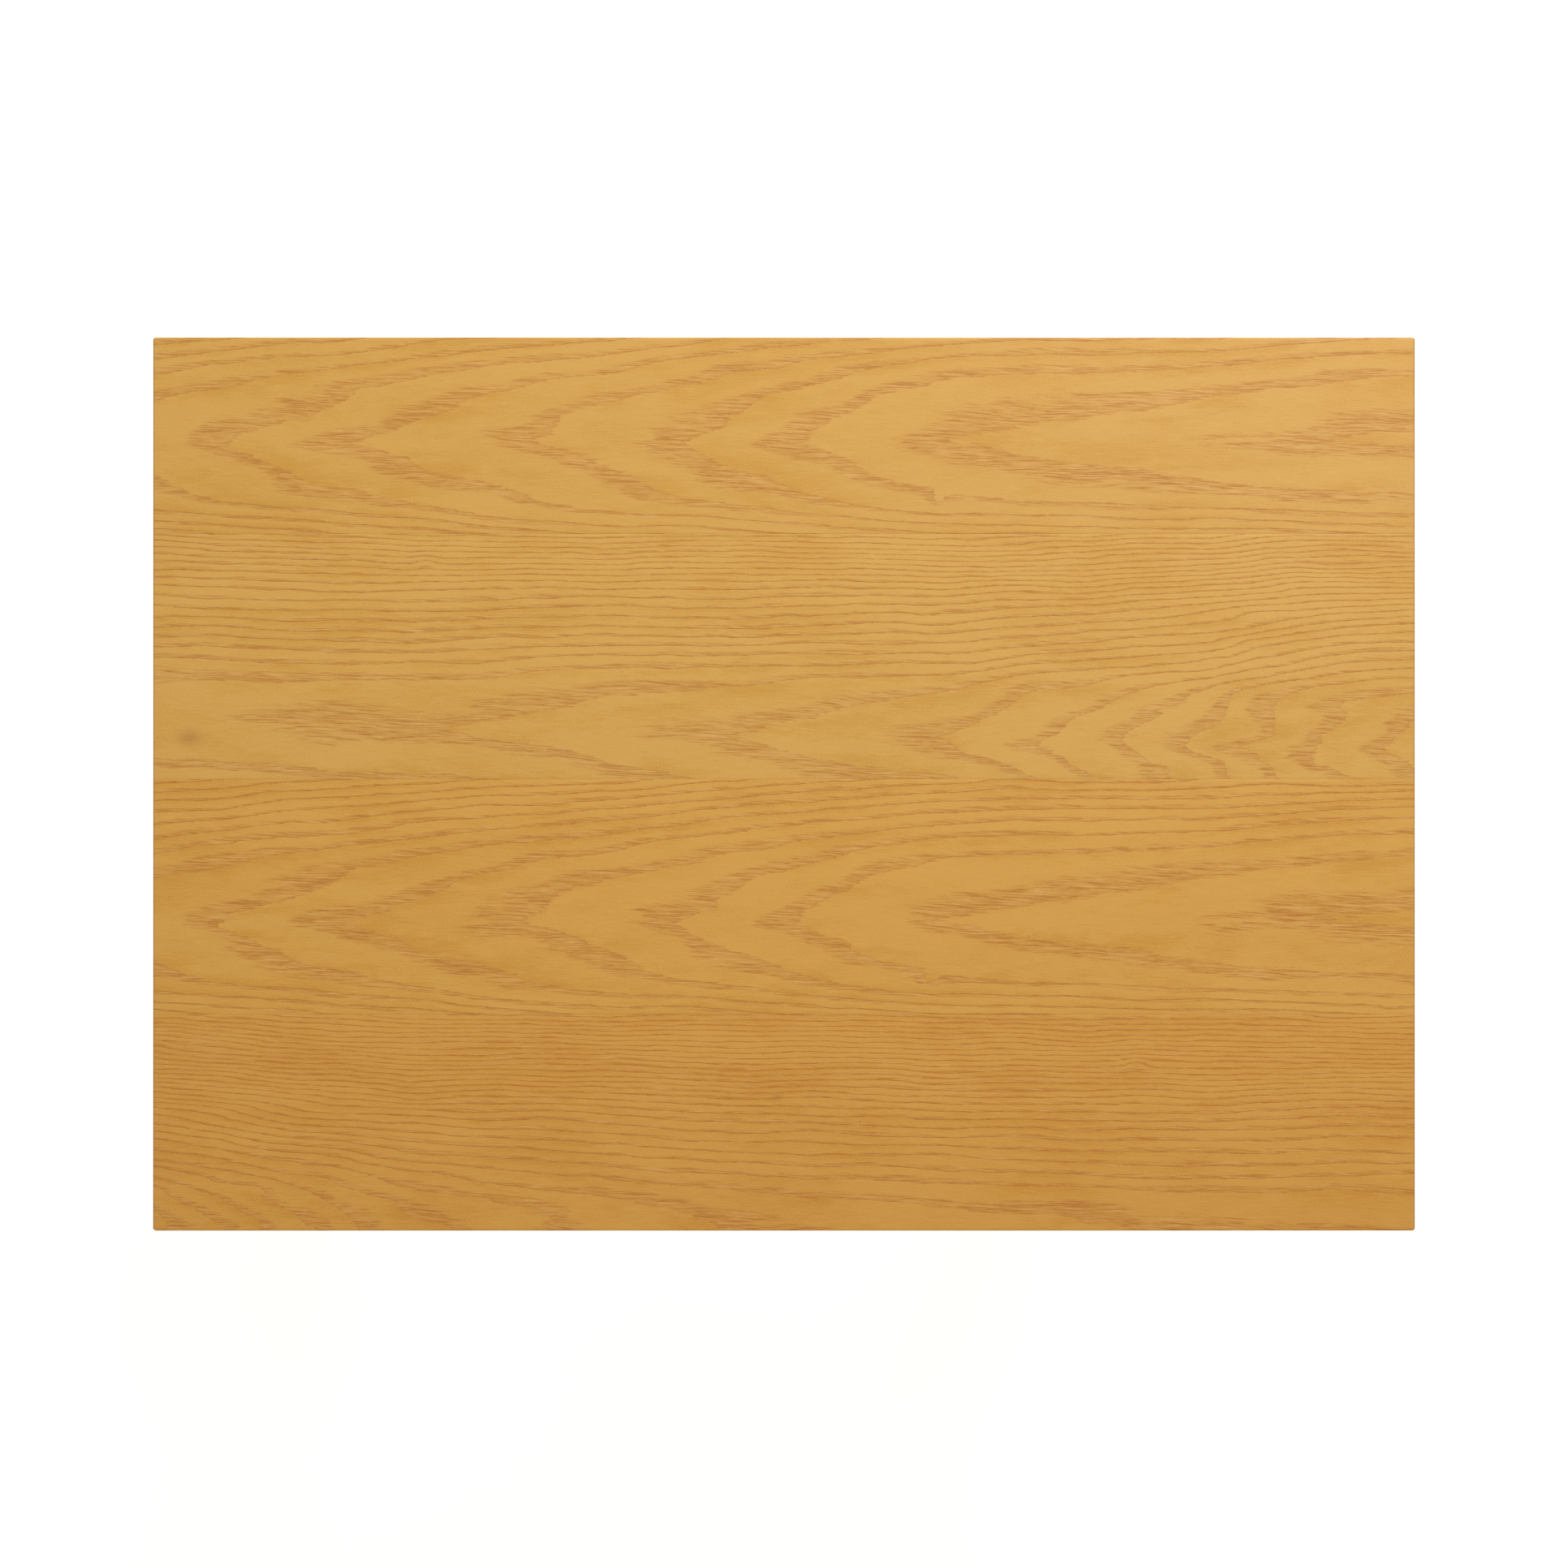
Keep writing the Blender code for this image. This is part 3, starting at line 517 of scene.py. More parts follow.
def porous_rings_group() -> bpy.types.NodeTree:
    """Colour, roughness, pore depth and gloss of ring-porous wood, from its growth rings.

    Each ring starts with a sharp brown line of wide pores, which thin out towards its late wood. The
    pores are noise drawn out along the grain: troughs are dark grooves, the pores' own dark deepened by
    painted shade in the grooves, and crests are their pale lips, lit by a painted highlight; both are
    faded by how far into the ring they are. Late wood deepens to amber just before the next ring. Tight
    runs from 0, where rings are cut flat and their pores lie long and soft, to 1, where they are close, and
    Reach is the share of a ring that its pores take up.

    Returns:
        The node group.
    """
    inputs = {"Ring": "Float", "Tight": "Float", "Reach": "Float", "Grain": "Vector"}
    inputs.update({"Pale": "Color", "Deep": "Color", "Pore": "Color", "Lip_highlight": "Color"})
    outputs = {"Color": "Color", "Roughness": "Float", "Height": "Float", "Gloss": "Float"}
    tree, g, ins, sink = new_group("ring_porous_wood", inputs, outputs)
    grain, tight = ins["Grain"], ins["Tight"]
    run = g.add("ShaderNodeSeparateXYZ", {0: grain}).outputs[0]
    sway = g.drawn(grain, (12, 40, 40), 1.0)
    slope = g.math("MULTIPLY_ADD", run, 0.04, g.math("MULTIPLY", sway, 0.007))
    lean = g.add("ShaderNodeCombineXYZ", {1: slope}).outputs[0]
    swayed = g.add("ShaderNodeVectorMath", {0: grain, 1: lean}, operation="ADD").outputs[0]
    fray = g.drawn(swayed, (45, 800, 800), 3.0, 0.6)
    ring = g.math("ADD", ins["Ring"], g.math("MULTIPLY_ADD", fray, 0.28, -0.14))
    phase = g.math("FRACT", ring)
    uneven = g.ramp(g.drawn(grain, (9, 40, 40), 1.0), 0.3, 0.7, 0.60, 1.35)
    reach = g.math("MULTIPLY", ins["Reach"], uneven)
    porous = g.math("SUBTRACT", 1.0, g.ramp(phase, 0.0, reach))
    vessels = g.drawn(swayed, (52, 1650, 1650), 2.0, 0.65)
    # the pores' own dark, deepened by painted shade in the grooves
    pore_dark_and_groove_shade = g.math("MULTIPLY", g.ramp(vessels, 0.51, 0.60), g.ramp(porous, 0.0, 0.30))
    # painted highlight: pale strokes beside the grooves, where light catches the pores' lips
    lip_highlight = g.math("MULTIPLY", g.ramp(vessels, 0.45, 0.34), g.ramp(porous, 0.05, 0.5))
    width = g.math("MULTIPLY_ADD", tight, 0.14, 0.05)
    dashes = g.drawn(swayed, (170, 1300, 1300), 2.0, 0.6)
    first_row = g.math("MULTIPLY", g.ramp(phase, width, 0.0), g.ramp(dashes, 0.36, 0.54, 0.42, 1.0))
    rows = g.math("MULTIPLY", first_row, g.math("MULTIPLY_ADD", tight, 0.48, 0.34))
    # dark strokes: pore colour with the painted shade of the grooves
    strokes = g.math("MULTIPLY", pore_dark_and_groove_shade, g.math("MULTIPLY_ADD", tight, -0.10, 0.52))
    dark = g.math("MAXIMUM", rows, strokes)
    cloud = g.drawn(grain, (11, 42, 42), 4.0, 0.6)
    fibre = g.drawn(swayed, (60, 1500, 1500), 2.0, 0.7)
    fleck = g.ramp(g.drawn(grain, (1100, 1500, 1500), 2.0, 0.7), 0.3, 0.7, -0.50, 0.50)
    amber = g.math("MULTIPLY", g.ramp(phase, 0.35, 1.0), g.ramp(cloud, 0.42, 0.62))
    tone = g.math("MULTIPLY_ADD", amber, 0.36, g.ramp(cloud, 0.28, 0.72, 0.0, 0.34))
    tone = g.math("ADD", tone, fleck)
    tone = g.math("ADD", tone, g.ramp(fibre, 0.3, 0.7, -0.26, 0.30))
    colour = g.mix(tone, ins["Pale"], ins["Deep"])
    colour = g.mix(g.math("MULTIPLY", g.ramp(porous, 0.0, 0.5), 0.12), colour, ins["Pore"])
    # mixes in the painted highlight on the pores' lips
    colour = g.mix(g.math("MULTIPLY", lip_highlight, 0.38), colour, ins["Lip_highlight"])
    colour = g.mix(dark, colour, ins["Pore"])
    rough = g.math("MULTIPLY_ADD", dark, 0.22, g.math("MULTIPLY_ADD", fibre, 0.12, 0.30))
    height = g.math("MULTIPLY_ADD", dark, -1.0, g.math("MULTIPLY", fibre, 0.2))
    gloss = g.math("MULTIPLY_ADD", dark, -0.9, 1.0)
    close_group(g, sink, {"Color": colour, "Roughness": rough, "Height": height, "Gloss": gloss})
    return tree


def log_rings_group() -> bpy.types.NodeTree:
    """Growth rings through a sawn member: the distance from the pith, over the ring spacing.

    The grain lies along the first axis, and the pith is that axis. Slow noise bends the rings.

    Returns:
        The node group.
    """
    tree, g, ins, sink = new_group("log_rings", {"Grain": "Vector", "Spacing": "Float"}, {"Ring": "Float"})
    grain = ins["Grain"]
    parts = g.add("ShaderNodeSeparateXYZ", {0: grain}).outputs
    across = g.add("ShaderNodeCombineXYZ", {1: parts[1], 2: parts[2]}).outputs[0]
    radius = g.add("ShaderNodeVectorMath", {0: across}, operation="LENGTH").outputs["Value"]
    sway = g.drawn(grain, (2.5, 14, 14), 2.0)
    bent = g.math("MULTIPLY_ADD", sway, 0.022, radius)
    close_group(g, sink, {"Ring": g.math("DIVIDE", bent, ins["Spacing"])})
    return tree


def fine_skin_group() -> bpy.types.NodeTree:
    """A fine grained skin with slow patches of handling, for moulded plastic and powder coat.

    Returns:
        The node group.
    """
    tree, g, ins, sink = new_group(
        "fine_skin", {"Vector": "Vector", "Grain": "Float"}, {"Height": "Float", "Patch": "Float"}
    )
    skin = g.noise(ins["Vector"], ins["Grain"], 3.0, 0.6)
    patch = g.ramp(g.noise(ins["Vector"], 38.0, 4.0, 0.6), 0.35, 0.68)
    close_group(g, sink, {"Height": skin, "Patch": patch})
    return tree


class Library:
    """The node groups that several finishes share, each built once."""

    def __init__(self) -> None:
        """Builds the groups."""
        self.porous_rings = porous_rings_group()
        self.log_rings = log_rings_group()
        self.fine_skin = fine_skin_group()


def new_material(name: str) -> tuple[bpy.types.Material, Graph, bpy.types.Node]:
    """Starts a material.

    Args:
        name: The material's name.

    Returns:
        The material, its graph and its Principled BSDF.
    """
    material = bpy.data.materials.new(name)
    material.use_nodes = True
    graph = Graph(material.node_tree)
    return material, graph, material.node_tree.nodes["Principled BSDF"]


class Along(Enum):
    """Which world axis a member's grain follows, as the turn that brings it to the first axis."""

    X = (0.0, 0.0, 0.0)
    Y = (0.0, 0.0, -math.pi / 2)
    Z = (0.0, math.pi / 2, 0.0)


@dataclass(frozen=True)
class AshFinish:
    """Open-pored ash under a honey-coloured satin lacquer.

    Attributes:
        pale: Late wood where it is lightest.
        deep: Late wood where it is darkest.
        pore: The pores.
        lip_highlight: The painted highlight on the pores' pale lips.
        coat: Weight of the lacquer's gloss.
        spacing: Ring spacing in solid members, in metres.
    """

    pale: Colour = (0.598, 0.332, 0.070)
    deep: Colour = (0.505, 0.236, 0.019)
    pore: Colour = (0.335, 0.078, 0.002)
    # colour of the painted highlight on the pores' lips
    lip_highlight: Colour = (0.730, 0.430, 0.165)
    coat: float = 0.40
    spacing: float = 0.0052

    def dress(self, library: Library, graph: Graph, shader: bpy.types.Node, rings: dict) -> Socket:
        """Feeds a shader from rings and grain coordinates.

        Args:
            library: The shared groups.
            graph: The material's graph.
            shader: Its Principled BSDF.
            rings: The group's Ring, Tight, Reach and Grain, as sockets or numbers.

        Returns:
            The colour socket, for what is painted over it.
        """
        group = graph.add("ShaderNodeGroup", {}, node_tree=library.porous_rings)
        graph.feed(group, rings)
        colours = {"Pale": self.pale, "Deep": self.deep, "Pore": self.pore, "Lip_highlight": self.lip_highlight}
        for name, colour in colours.items():
            group.inputs[name].default_value = (*colour, 1.0)
        normal = graph.bump(group.outputs["Height"], 0.30, 0.00010)
        values = {"Base Color": group.outputs["Color"], "Roughness": group.outputs["Roughness"]}
        lacquer = graph.math("MULTIPLY", group.outputs["Gloss"], self.coat)
        values.update({"Normal": normal, "Coat Weight": lacquer, "Coat Roughness": 0.32, "IOR": 1.38})
        graph.feed(shader, values)
        return group.outputs["Color"]

    def solid(self, library: Library, name: str, along: Along, pith: Point) -> bpy.types.Material:
        """A material for a sawn member.

        Args:
            library: The shared groups.
            name: The material's name.
            along: The axis that its grain follows.
            pith: Where the log's pith passes, as a shift after the turn.

        Returns:
            The material.
        """
        material, graph, shader = new_material(name)
        values = {"Vector": graph.object_vector(), "Rotation": along.value, "Location": pith}
        grain = graph.add("ShaderNodeMapping", values).outputs[0]
        rings = graph.add("ShaderNodeGroup", {}, node_tree=library.log_rings)
        graph.feed(rings, {"Grain": grain, "Spacing": self.spacing})
        ring = rings.outputs["Ring"]
        self.dress(library, graph, shader, {"Ring": ring, "Tight": 0.6, "Reach": 0.5, "Grain": grain})
        return material

    def leaf(self, library: Library, name: str, shift: Point) -> bpy.types.Material:
        """A material for a veneer leaf, whose rings are its own attribute.

        Args:
            library: The shared groups.
            name: The material's name.
            shift: Sets one leaf's pores apart from another's.

        Returns:
            The material.
        """
        material, graph, shader = new_material(name)
        rings = {}
        for socket in ("Ring", "Tight", "Reach", "Knot_brown_and_edge_shade"):
            attribute = graph.add("ShaderNodeAttribute", {}, attribute_name=socket.lower())
            rings[socket] = attribute.outputs["Fac"]
        knot_brown_and_edge_shade = rings.pop("Knot_brown_and_edge_shade")
        grain = graph.stretch(graph.object_vector(), (1, 1, 1), shift)
        colour = self.dress(library, graph, shader, {**rings, "Grain": grain})
        specks = graph.add("ShaderNodeTexVoronoi", {"Vector": grain, "Scale": 24.0}).outputs
        shade = graph.add("ShaderNodeSeparateXYZ", {0: specks["Color"]}).outputs[0]
        rare = graph.math("GREATER_THAN", shade, 0.72)
        speck = graph.math("MULTIPLY", graph.ramp(specks["Distance"], 0.022, 0.010), rare)
        # the specks, the pin knots' brown and the painted shade on the end arrises, all mixed towards one
        # dark brown
        specks_knots_and_edge_shade = graph.math("MAXIMUM", graph.math("MULTIPLY", speck, 0.7), knot_brown_and_edge_shade)
        painted = graph.mix(specks_knots_and_edge_shade, colour, (0.290, 0.084, 0.010, 1.0))
        graph.feed(shader, {"Base Color": painted})
        return material


@dataclass(frozen=True)
class SkinFinish:
    """Metal, moulded plastic or powder coat: a fine grained skin with duller patches of handling.

    Attributes:
        name: The material's name.
        colour: Base colour.
        worn: Colour where it is handled.
        rough: Base roughness.
        grain: Grains in a metre.
        relief: Depth of the grains, in metres.
        metal: Whether it is bare or plated metal, whose grains are drawn out and shallow.
    """

    name: str
    colour: Colour
    worn: Colour
    rough: float
    grain: float = 900.0
    relief: float = 0.0001
    metal: bool = False

    def material(self, library: Library) -> bpy.types.Material:
        """Builds the material: grains as bump, patches of wear in colour and roughness."""
        material, graph, shader = new_material(self.name)
        vector = graph.object_vector()
        if self.metal:
            vector = graph.stretch(vector, (1, 6, 6))
        skin = graph.add("ShaderNodeGroup", {}, node_tree=library.fine_skin)
        graph.feed(skin, {"Vector": vector, "Grain": self.grain})
        patch = skin.outputs["Patch"]
        colour = graph.mix(patch, (*self.colour, 1.0), (*self.worn, 1.0))
        rough = graph.math("MULTIPLY_ADD", patch, 0.14 if self.metal else 0.12, self.rough)
        normal = graph.bump(skin.outputs["Height"], 0.12 if self.metal else 0.55, self.relief)
        graph.feed(shader, {"Base Color": colour, "Roughness": rough, "Normal": normal})
        graph.feed(shader, {"Metallic": 1.0 if self.metal else 0.0})
        return material


@dataclass(frozen=True)
class ChipFinish:
    """Pressed wood chips in resin, for the board's core."""

    pale: Colour = (0.52, 0.37, 0.20)
    dark: Colour = (0.22, 0.13, 0.06)

    def material(self, name: str) -> bpy.types.Material:
        """Builds the material: each flattened cell is a chip with its own tone."""
        material, graph, shader = new_material(name)
        vector = graph.stretch(graph.object_vector(), (240, 240, 900))
        cells = graph.add("ShaderNodeTexVoronoi", {"Vector": vector, "Scale": 1.0}).outputs
        tone = graph.add("ShaderNodeSeparateXYZ", {0: cells["Color"]}).outputs[0]
        colour = graph.mix(tone, (*self.pale, 1.0), (*self.dark, 1.0))
        normal = graph.bump(cells["Distance"], 0.4, 0.0003)
        graph.feed(shader, {"Base Color": colour, "Roughness": 0.85, "Normal": normal})
        return material


class Finishes:
    """Every finish on the table, made once."""

    def __init__(self) -> None:
        """Builds the shared groups and the metals, plastics and core."""
        self.library = Library()
        self.ash = AshFinish()
        self.warm_ash = AshFinish(pale=(0.596, 0.296, 0.048), deep=(0.490, 0.204, 0.012))
        self.honey_ash = AshFinish(pale=(0.606, 0.317, 0.057), deep=(0.505, 0.224, 0.016))
        self.yellow_ash = AshFinish(pale=(0.588, 0.322, 0.067), deep=(0.500, 0.234, 0.020))
        self.dowel_ash = AshFinish(pale=(0.66, 0.40, 0.15), deep=(0.60, 0.33, 0.11), spacing=0.0035)
        skins = {
            "zinc": SkinFinish("zinc_plate", (0.64, 0.64, 0.62), (0.50, 0.50, 0.47), 0.28, metal=True),
            "brass": SkinFinish("turned_brass", (0.76, 0.55, 0.22), (0.60, 0.40, 0.15), 0.28, metal=True),
            "powder": SkinFinish(
                "black_powder_coat", (0.018, 0.018, 0.019), (0.032, 0.032, 0.033), 0.46, 1500.0, 0.00012
            ),
            "knob": SkinFinish(
                "black_knob_plastic", (0.014, 0.014, 0.015), (0.026, 0.026, 0.027), 0.38, 2600.0, 0.00005
            ),
            "glide": SkinFinish(
                "black_glide_plastic", (0.030, 0.030, 0.031), (0.060, 0.058, 0.055), 0.55, 1800.0, 0.00008
            ),
            "nylon": SkinFinish(
                "natural_nylon", (0.80, 0.79, 0.74), (0.72, 0.70, 0.64), 0.42, 1800.0, 0.00004
            ),
        }
        built = {key: skin.material(self.library) for key, skin in skins.items()}
        self.zinc, self.brass, self.powder = built["zinc"], built["brass"], built["powder"]
        self.knob, self.glide, self.nylon = built["knob"], built["glide"], built["nylon"]
        self.core = ChipFinish().material("chip_core")

    def wood(self, name: str, along: Along, pith: Point) -> bpy.types.Material:
        """The table's solid ash, sawn so that the pith passes at a given shift."""
        return self.ash.solid(self.library, name, along, pith)


# ---------------------------------------------------------------- the veneered board
@dataclass(frozen=True)
class Limb:
    """How growth rings rise away from a leaf's centre line, on one side of it.

    Attributes:
        slope: Rings for each millimetre near the centre line.
        knee: Where the straight grain starts, in millimetres from the centre line.
        soft: How gradually it starts, in millimetres.
        density: Further rings for each millimetre in the straight grain.
        far: Where the rings draw closer again.
        closer: Further rings for each millimetre beyond that.
    """

    slope: float
    knee: float
    soft: float
    density: float
    far: float = 400.0
    closer: float = 0.0

    def ramp(self, distance: Array, knee: float) -> Array:
        """A softened ramp from a knee on: soft times ln(1 + e^((distance - knee) / soft)), 0 at 0."""
        start = np.logaddexp(0, -knee / self.soft)
        return self.soft * (np.logaddexp(0, (distance - knee) / self.soft) - start)

    def rings(self, distance: Array) -> Array:
        """A slope, and a softened ramp from each of the two knees, summed."""
        near, far = self.ramp(distance, self.knee), self.ramp(distance, self.far)
        return self.slope * distance + self.density * near + self.closer * far


@dataclass(frozen=True)
class LeafFigure:
    """The figure of one veneer leaf, as a field of growth rings. Lengths are in millimetres.

    Attributes:
        tips: (x, ring) along the centre line. Each whole ring is where a flame's tip stands.
        centre: Height of the centre line above the leaf's front seam, at the left and right ends.
        above: The limb on the centre line's back side.
        below: The limb on its front side.
        widen: How much wider the rings lie at the left end than at the right.
        fade: How much the tips' rings fade out towards the leaf's back seam.
        seed: Seeds the wood's own wandering.
        knots: (x, y, length, rings) of swirls that push the rings aside.
        pins: (x, y, radius) of brown pin knots.
    """

    tips: tuple[tuple[float, float], ...]
    centre: tuple[float, float]
    above: Limb
    below: Limb
    widen: float = 0.0
    fade: float = 0.0
    seed: int = 1
    knots: tuple[tuple[float, float, float, float], ...] = ()
    pins: tuple[tuple[float, float, float], ...] = ()

    def wander(self, x: Array, y: Array) -> tuple[Array, Array]:
        """Moves each point a little, by noise drawn out along the grain.

        Args:
            x: Millimetres from the left end.
            y: Millimetres above the front seam.

        Returns:
            The moved x and y.
        """
        seed = 10 * self.seed
        along = 15 * lattice(x / 95, y / 30, seed) + 11 * lattice(x / 40, y / 11, seed + 1)
        along += 3.5 * lattice(x / 16, y / 4.6, seed + 2)
        across = 3.2 * lattice(x / 150, y / 45, seed + 3) + 1.5 * lattice(x / 48, y / 14, seed + 4)
        across += 0.55 * lattice(x / 17, y / 6, seed + 5)
        return x + along, y + across

    def brown(self, x: Array, y: Array) -> Array:
        """How brown the pin knots make each point: a bell on each, longer along the grain than across."""
        total = np.zeros_like(x)
        for pin_x, pin_y, radius in self.pins:
            away = np.hypot((x - pin_x) / 1.7, y - pin_y) / radius
            total += 0.42 * np.exp(-(away**2))
        return total

    def rings(self, x: Array, y: Array, length: float) -> Array:
        """Counts growth rings: those of the tips along the centre line, plus those of the limbs.

        Args:
            x: Millimetres from the left end.
            y: Millimetres above the front seam.
            length: The leaf's length.

        Returns:
            Rings, shaped like x.
        """
        moved_x, moved_y = self.wander(x, y)
        stations = np.arange(-100.0, length + 101.0, 2.0)
        raw = np.interp(stations, *np.array(self.tips).T)
        window = np.hanning(25)
        smooth = np.convolve(raw, window / window.sum(), mode="same")
        core = np.interp(moved_x, stations, smooth)
        share = np.clip(x / length, 0, 1)
        offset = moved_y - (self.centre[0] + (self.centre[1] - self.centre[0]) * share)
        spread = 1 + self.widen * (1 - share)
        away = np.abs(offset)
        rise = np.where(offset > 0, self.above.rings(away / spread), self.below.rings(away))
        total = core * (1 - self.fade * np.clip(y / 160, 0, 1)) + rise
        for knot_x, knot_y, size, push in self.knots:
            away = ((x - knot_x) / size) ** 2 + ((y - knot_y) / (0.8 * size)) ** 2
            total = total + push * np.exp(-away)
        return total


FLAMES = LeafFigure(
    tips=(
        (-60, 7.8), (0, 7.45), (46, 7), (146, 6), (257, 5),
        (375, 4), (468, 3), (562, 2), (841, 1), (980, 0.7),
    ),
    centre=(66, 69),
    above=Limb(0.021, 50, 7, 0.078, 82, 0.07),
    below=Limb(0.026, 50, 5, 0.14),
    seed=3,
    knots=((565, 22, 9, -0.35),),
)
STRAIGHT_TO_FLAMES = LeafFigure(
    tips=(
        (-60, 9.6), (0, 9.3), (224, 9), (419, 8), (587, 7), (642, 6), (707, 5), (761, 4), (797, 3), (828, 2),
        (888, 1), (980, 0),
    ),
    centre=(38, 22),
    above=Limb(0.02, 40, 6, 0.132, 106, 0.13),
    below=Limb(0.028, 40, 6, 0.1),
    widen=0.12,
    seed=5,
    knots=((199, 158, 7, -0.65),),
    pins=((27, 30, 5.2),),
)
STRAIGHT_TO_BANDS = LeafFigure(
    tips=((-60, -1), (0, 0), (90, 3.2), (190, 5.6), (340, 7.4), (600, 8.8), (980, 9.2)),
    centre=(0, 0),
    above=Limb(0.04, 28, 8, 0.115, 92, 0.13),
    below=Limb(0.04, 28, 8, 0.115),
    fade=0.5,
    seed=5,
    knots=((715, 121, 7, -0.65),),
    pins=((454, 97, 2.2),),
)


@dataclass(frozen=True)
class Leaf:
    """One leaf of veneer, from its front edge to its back edge.

    Attributes:
        name: The piece's name.
        front: Its front edge.
        back: Its back edge.
        figure: Its figure.
        slip: How far the figure has slipped along the grain, in millimetres.
    """

    name: str
    front: float
    back: float
    figure: LeafFigure
    slip: float = 0.0


@dataclass
class Board:
    """The board: veneered core, lippings, battens, quadrants and their screws.

    Attributes:
        corner: Corner radius in plan.
        arris: Radius of the veneer's outer arrises.
        seams: Seams between the face's leaves, from the front edge, in metres.
        cell: Size of a veneer grid's cell along and across the grain.
        hairline: Gap between two leaves.
    """

    finishes: Finishes
    corner: float = 0.0022
    arris: float = 0.00075
    seams: tuple[float, float, float] = (0.1573, 0.3285, 0.5068)
    cell: tuple[float, float] = (0.0026, 0.0018)
    hairline: float = 0.00004

    def edge(self, x: Array, half: float, reach: float) -> Array:
        """How far an outer edge stands from the middle, along the board.

        It is the half depth, less what the corner's quarter circle takes off near each end: the radius
        less the root of the radius squared less the square of the distance into the corner.
        """
        into = np.clip(np.abs(x) - (half - self.corner), 0, self.corner)
        return reach - (self.corner - np.sqrt(self.corner**2 - into**2))

    def leaf_mesh(self, leaf: Leaf, low: Vector, high: Vector, face_up: bool) -> bpy.types.Object:
        """Builds a leaf as one closed sheet: a ring of points round its section, carried along the grain.

        Args:
            leaf: The leaf.
            low: Lowest corner of the veneer.
            high: Highest corner of the veneer.
            face_up: Whether the show face is on top.

        Returns:
            The object, with its figure as attributes.
        """
        half, reach = high.x, high.y
        inner = half - self.corner
        turn = np.radians(np.linspace(0, 90, 6))[1:]
        ends = inner + self.corner * np.sin(turn)
        middle = np.linspace(-inner, inner, int(2 * inner / self.cell[0]))
        x = np.concatenate([-ends[::-1], middle, ends])
        edge = self.edge(x, half, reach)
        front = np.where(leaf.front <= -reach + WELD, -edge, leaf.front + self.hairline / 2)
        back = np.where(leaf.back >= reach - WELD, edge, leaf.back - self.hairline / 2)
        lips = [self.arris if abs(side) >= reach - WELD else 0.00003 for side in (leaf.front, leaf.back)]
        show, under = (high.z, low.z) if face_up else (low.z, high.z)
        inward = -1 if face_up else 1
        arris = np.linspace(0, math.pi / 2, 4)
        across = np.linspace(0, 1, int((leaf.back - leaf.front) / self.cell[1]))
        inset, drop = 1 - np.sin(arris), 1 - np.cos(arris)
        columns: list = [(front, np.full_like(x, under))]
        for c, s in zip(np.cos(arris), np.sin(arris)):
            columns.append((front + lips[0] * (1 - c), show + inward * lips[0] * (1 - s)))
        span_low, span_high = front + lips[0], back - lips[1]
        columns += [(span_low + (span_high - span_low) * t, np.full_like(x, show)) for t in across[1:-1]]
        columns += [(back - lips[1] * i, show + inward * lips[1] * d) for i, d in zip(inset, drop)]
        columns.append((back, np.full_like(x, under)))
        rows = [[x, np.broadcast_to(y, x.shape), np.broadcast_to(z, x.shape)] for y, z in columns]
        points = np.stack([np.stack(row, axis=1) for row in rows])
        into_end = (np.abs(x) - half + self.arris).clip(0) / self.arris
        end_drop = self.arris * (1 - np.sqrt(np.clip(1 - into_end**2, 0, 1)))
        on_face = np.abs(points[:, :, 2] - under) > self.arris
        points[:, :, 2] += inward * np.where(on_face, end_drop[None, :], 0)
        count, length = points.shape[:2]
        faces = grid_faces(count, length, True, False).tolist()
        faces.append([k * length for k in range(count)])
        faces.append([k * length + length - 1 for k in range(count)])
        flat = points.reshape(-1, 3)
        piece = make_object(leaf.name, flat, faces, sharp_deg=50)
        self.paint(piece, leaf, half)
        return piece

    def paint(self, piece: bpy.types.Object, leaf: Leaf, half: float) -> None:
        """Writes the leaf's rings, how close they are, where its pin knots brown it and where painted shade
        darkens its left and right end arrises, as attributes.

        Args:
            piece: The leaf's object.
            leaf: The leaf.
            half: Half the board's width.
        """
        mesh = piece.data
        co = np.zeros(len(mesh.vertices) * 3, np.float32)
        mesh.vertices.foreach_get("co", co)
        x, y = co.reshape(-1, 3)[:, 0].astype(float), co.reshape(-1, 3)[:, 1].astype(float)
        across, up, length = (x + half) / MM - leaf.slip, (y - leaf.front) / MM, 2 * half / MM
        rings = leaf.figure.rings(across, up, length)

        def steepness(run: float, rise: float) -> Array:
            """Rings for each millimetre, between points so far to either side."""
            ahead = leaf.figure.rings(across + run, up + rise, length)
            behind = leaf.figure.rings(across - run, up - rise, length)
            return np.abs(ahead - behind) / (2 * (run + rise))

        tight = np.clip((steepness(0, 1.5) - 0.03) / 0.15, 0, 1)
        reach = np.clip(30 * np.hypot(steepness(6, 0), steepness(0, 4)), 0.16, 0.46)
        # painted shade: a dark line along the left and right end arrises, over the last millimetre of the
        # board's width; the pin knots' own brown is added on top
        knot_brown_and_edge_shade = 0.72 * np.clip((np.abs(x) - (half - 0.0010)) / 0.0005, 0, 1)
        knot_brown_and_edge_shade = np.maximum(knot_brown_and_edge_shade, leaf.figure.brown(across, up))
        for name, values in (("ring", rings + 40), ("tight", tight), ("reach", reach), ("knot_brown_and_edge_shade", knot_brown_and_edge_shade)):
            mesh.attributes.new(name, "FLOAT", "POINT").data.foreach_set("value", values.astype(np.float32))

    def lay_leaf(self, leaf: Leaf, face_up: bool, stain: AshFinish, shift: Point) -> None:
        """Lays one leaf on the face or on the back, with its pores shifted apart from the others'."""
        node = "face_veneer" if face_up else "back_veneer"
        low, high, _ = place(node)
        piece = self.leaf_mesh(leaf, low, high, face_up)
        material = stain.leaf(self.finishes.library, f"{leaf.name}_veneer", shift)
        finish_piece(piece, "board", "veneer", material, (node,))

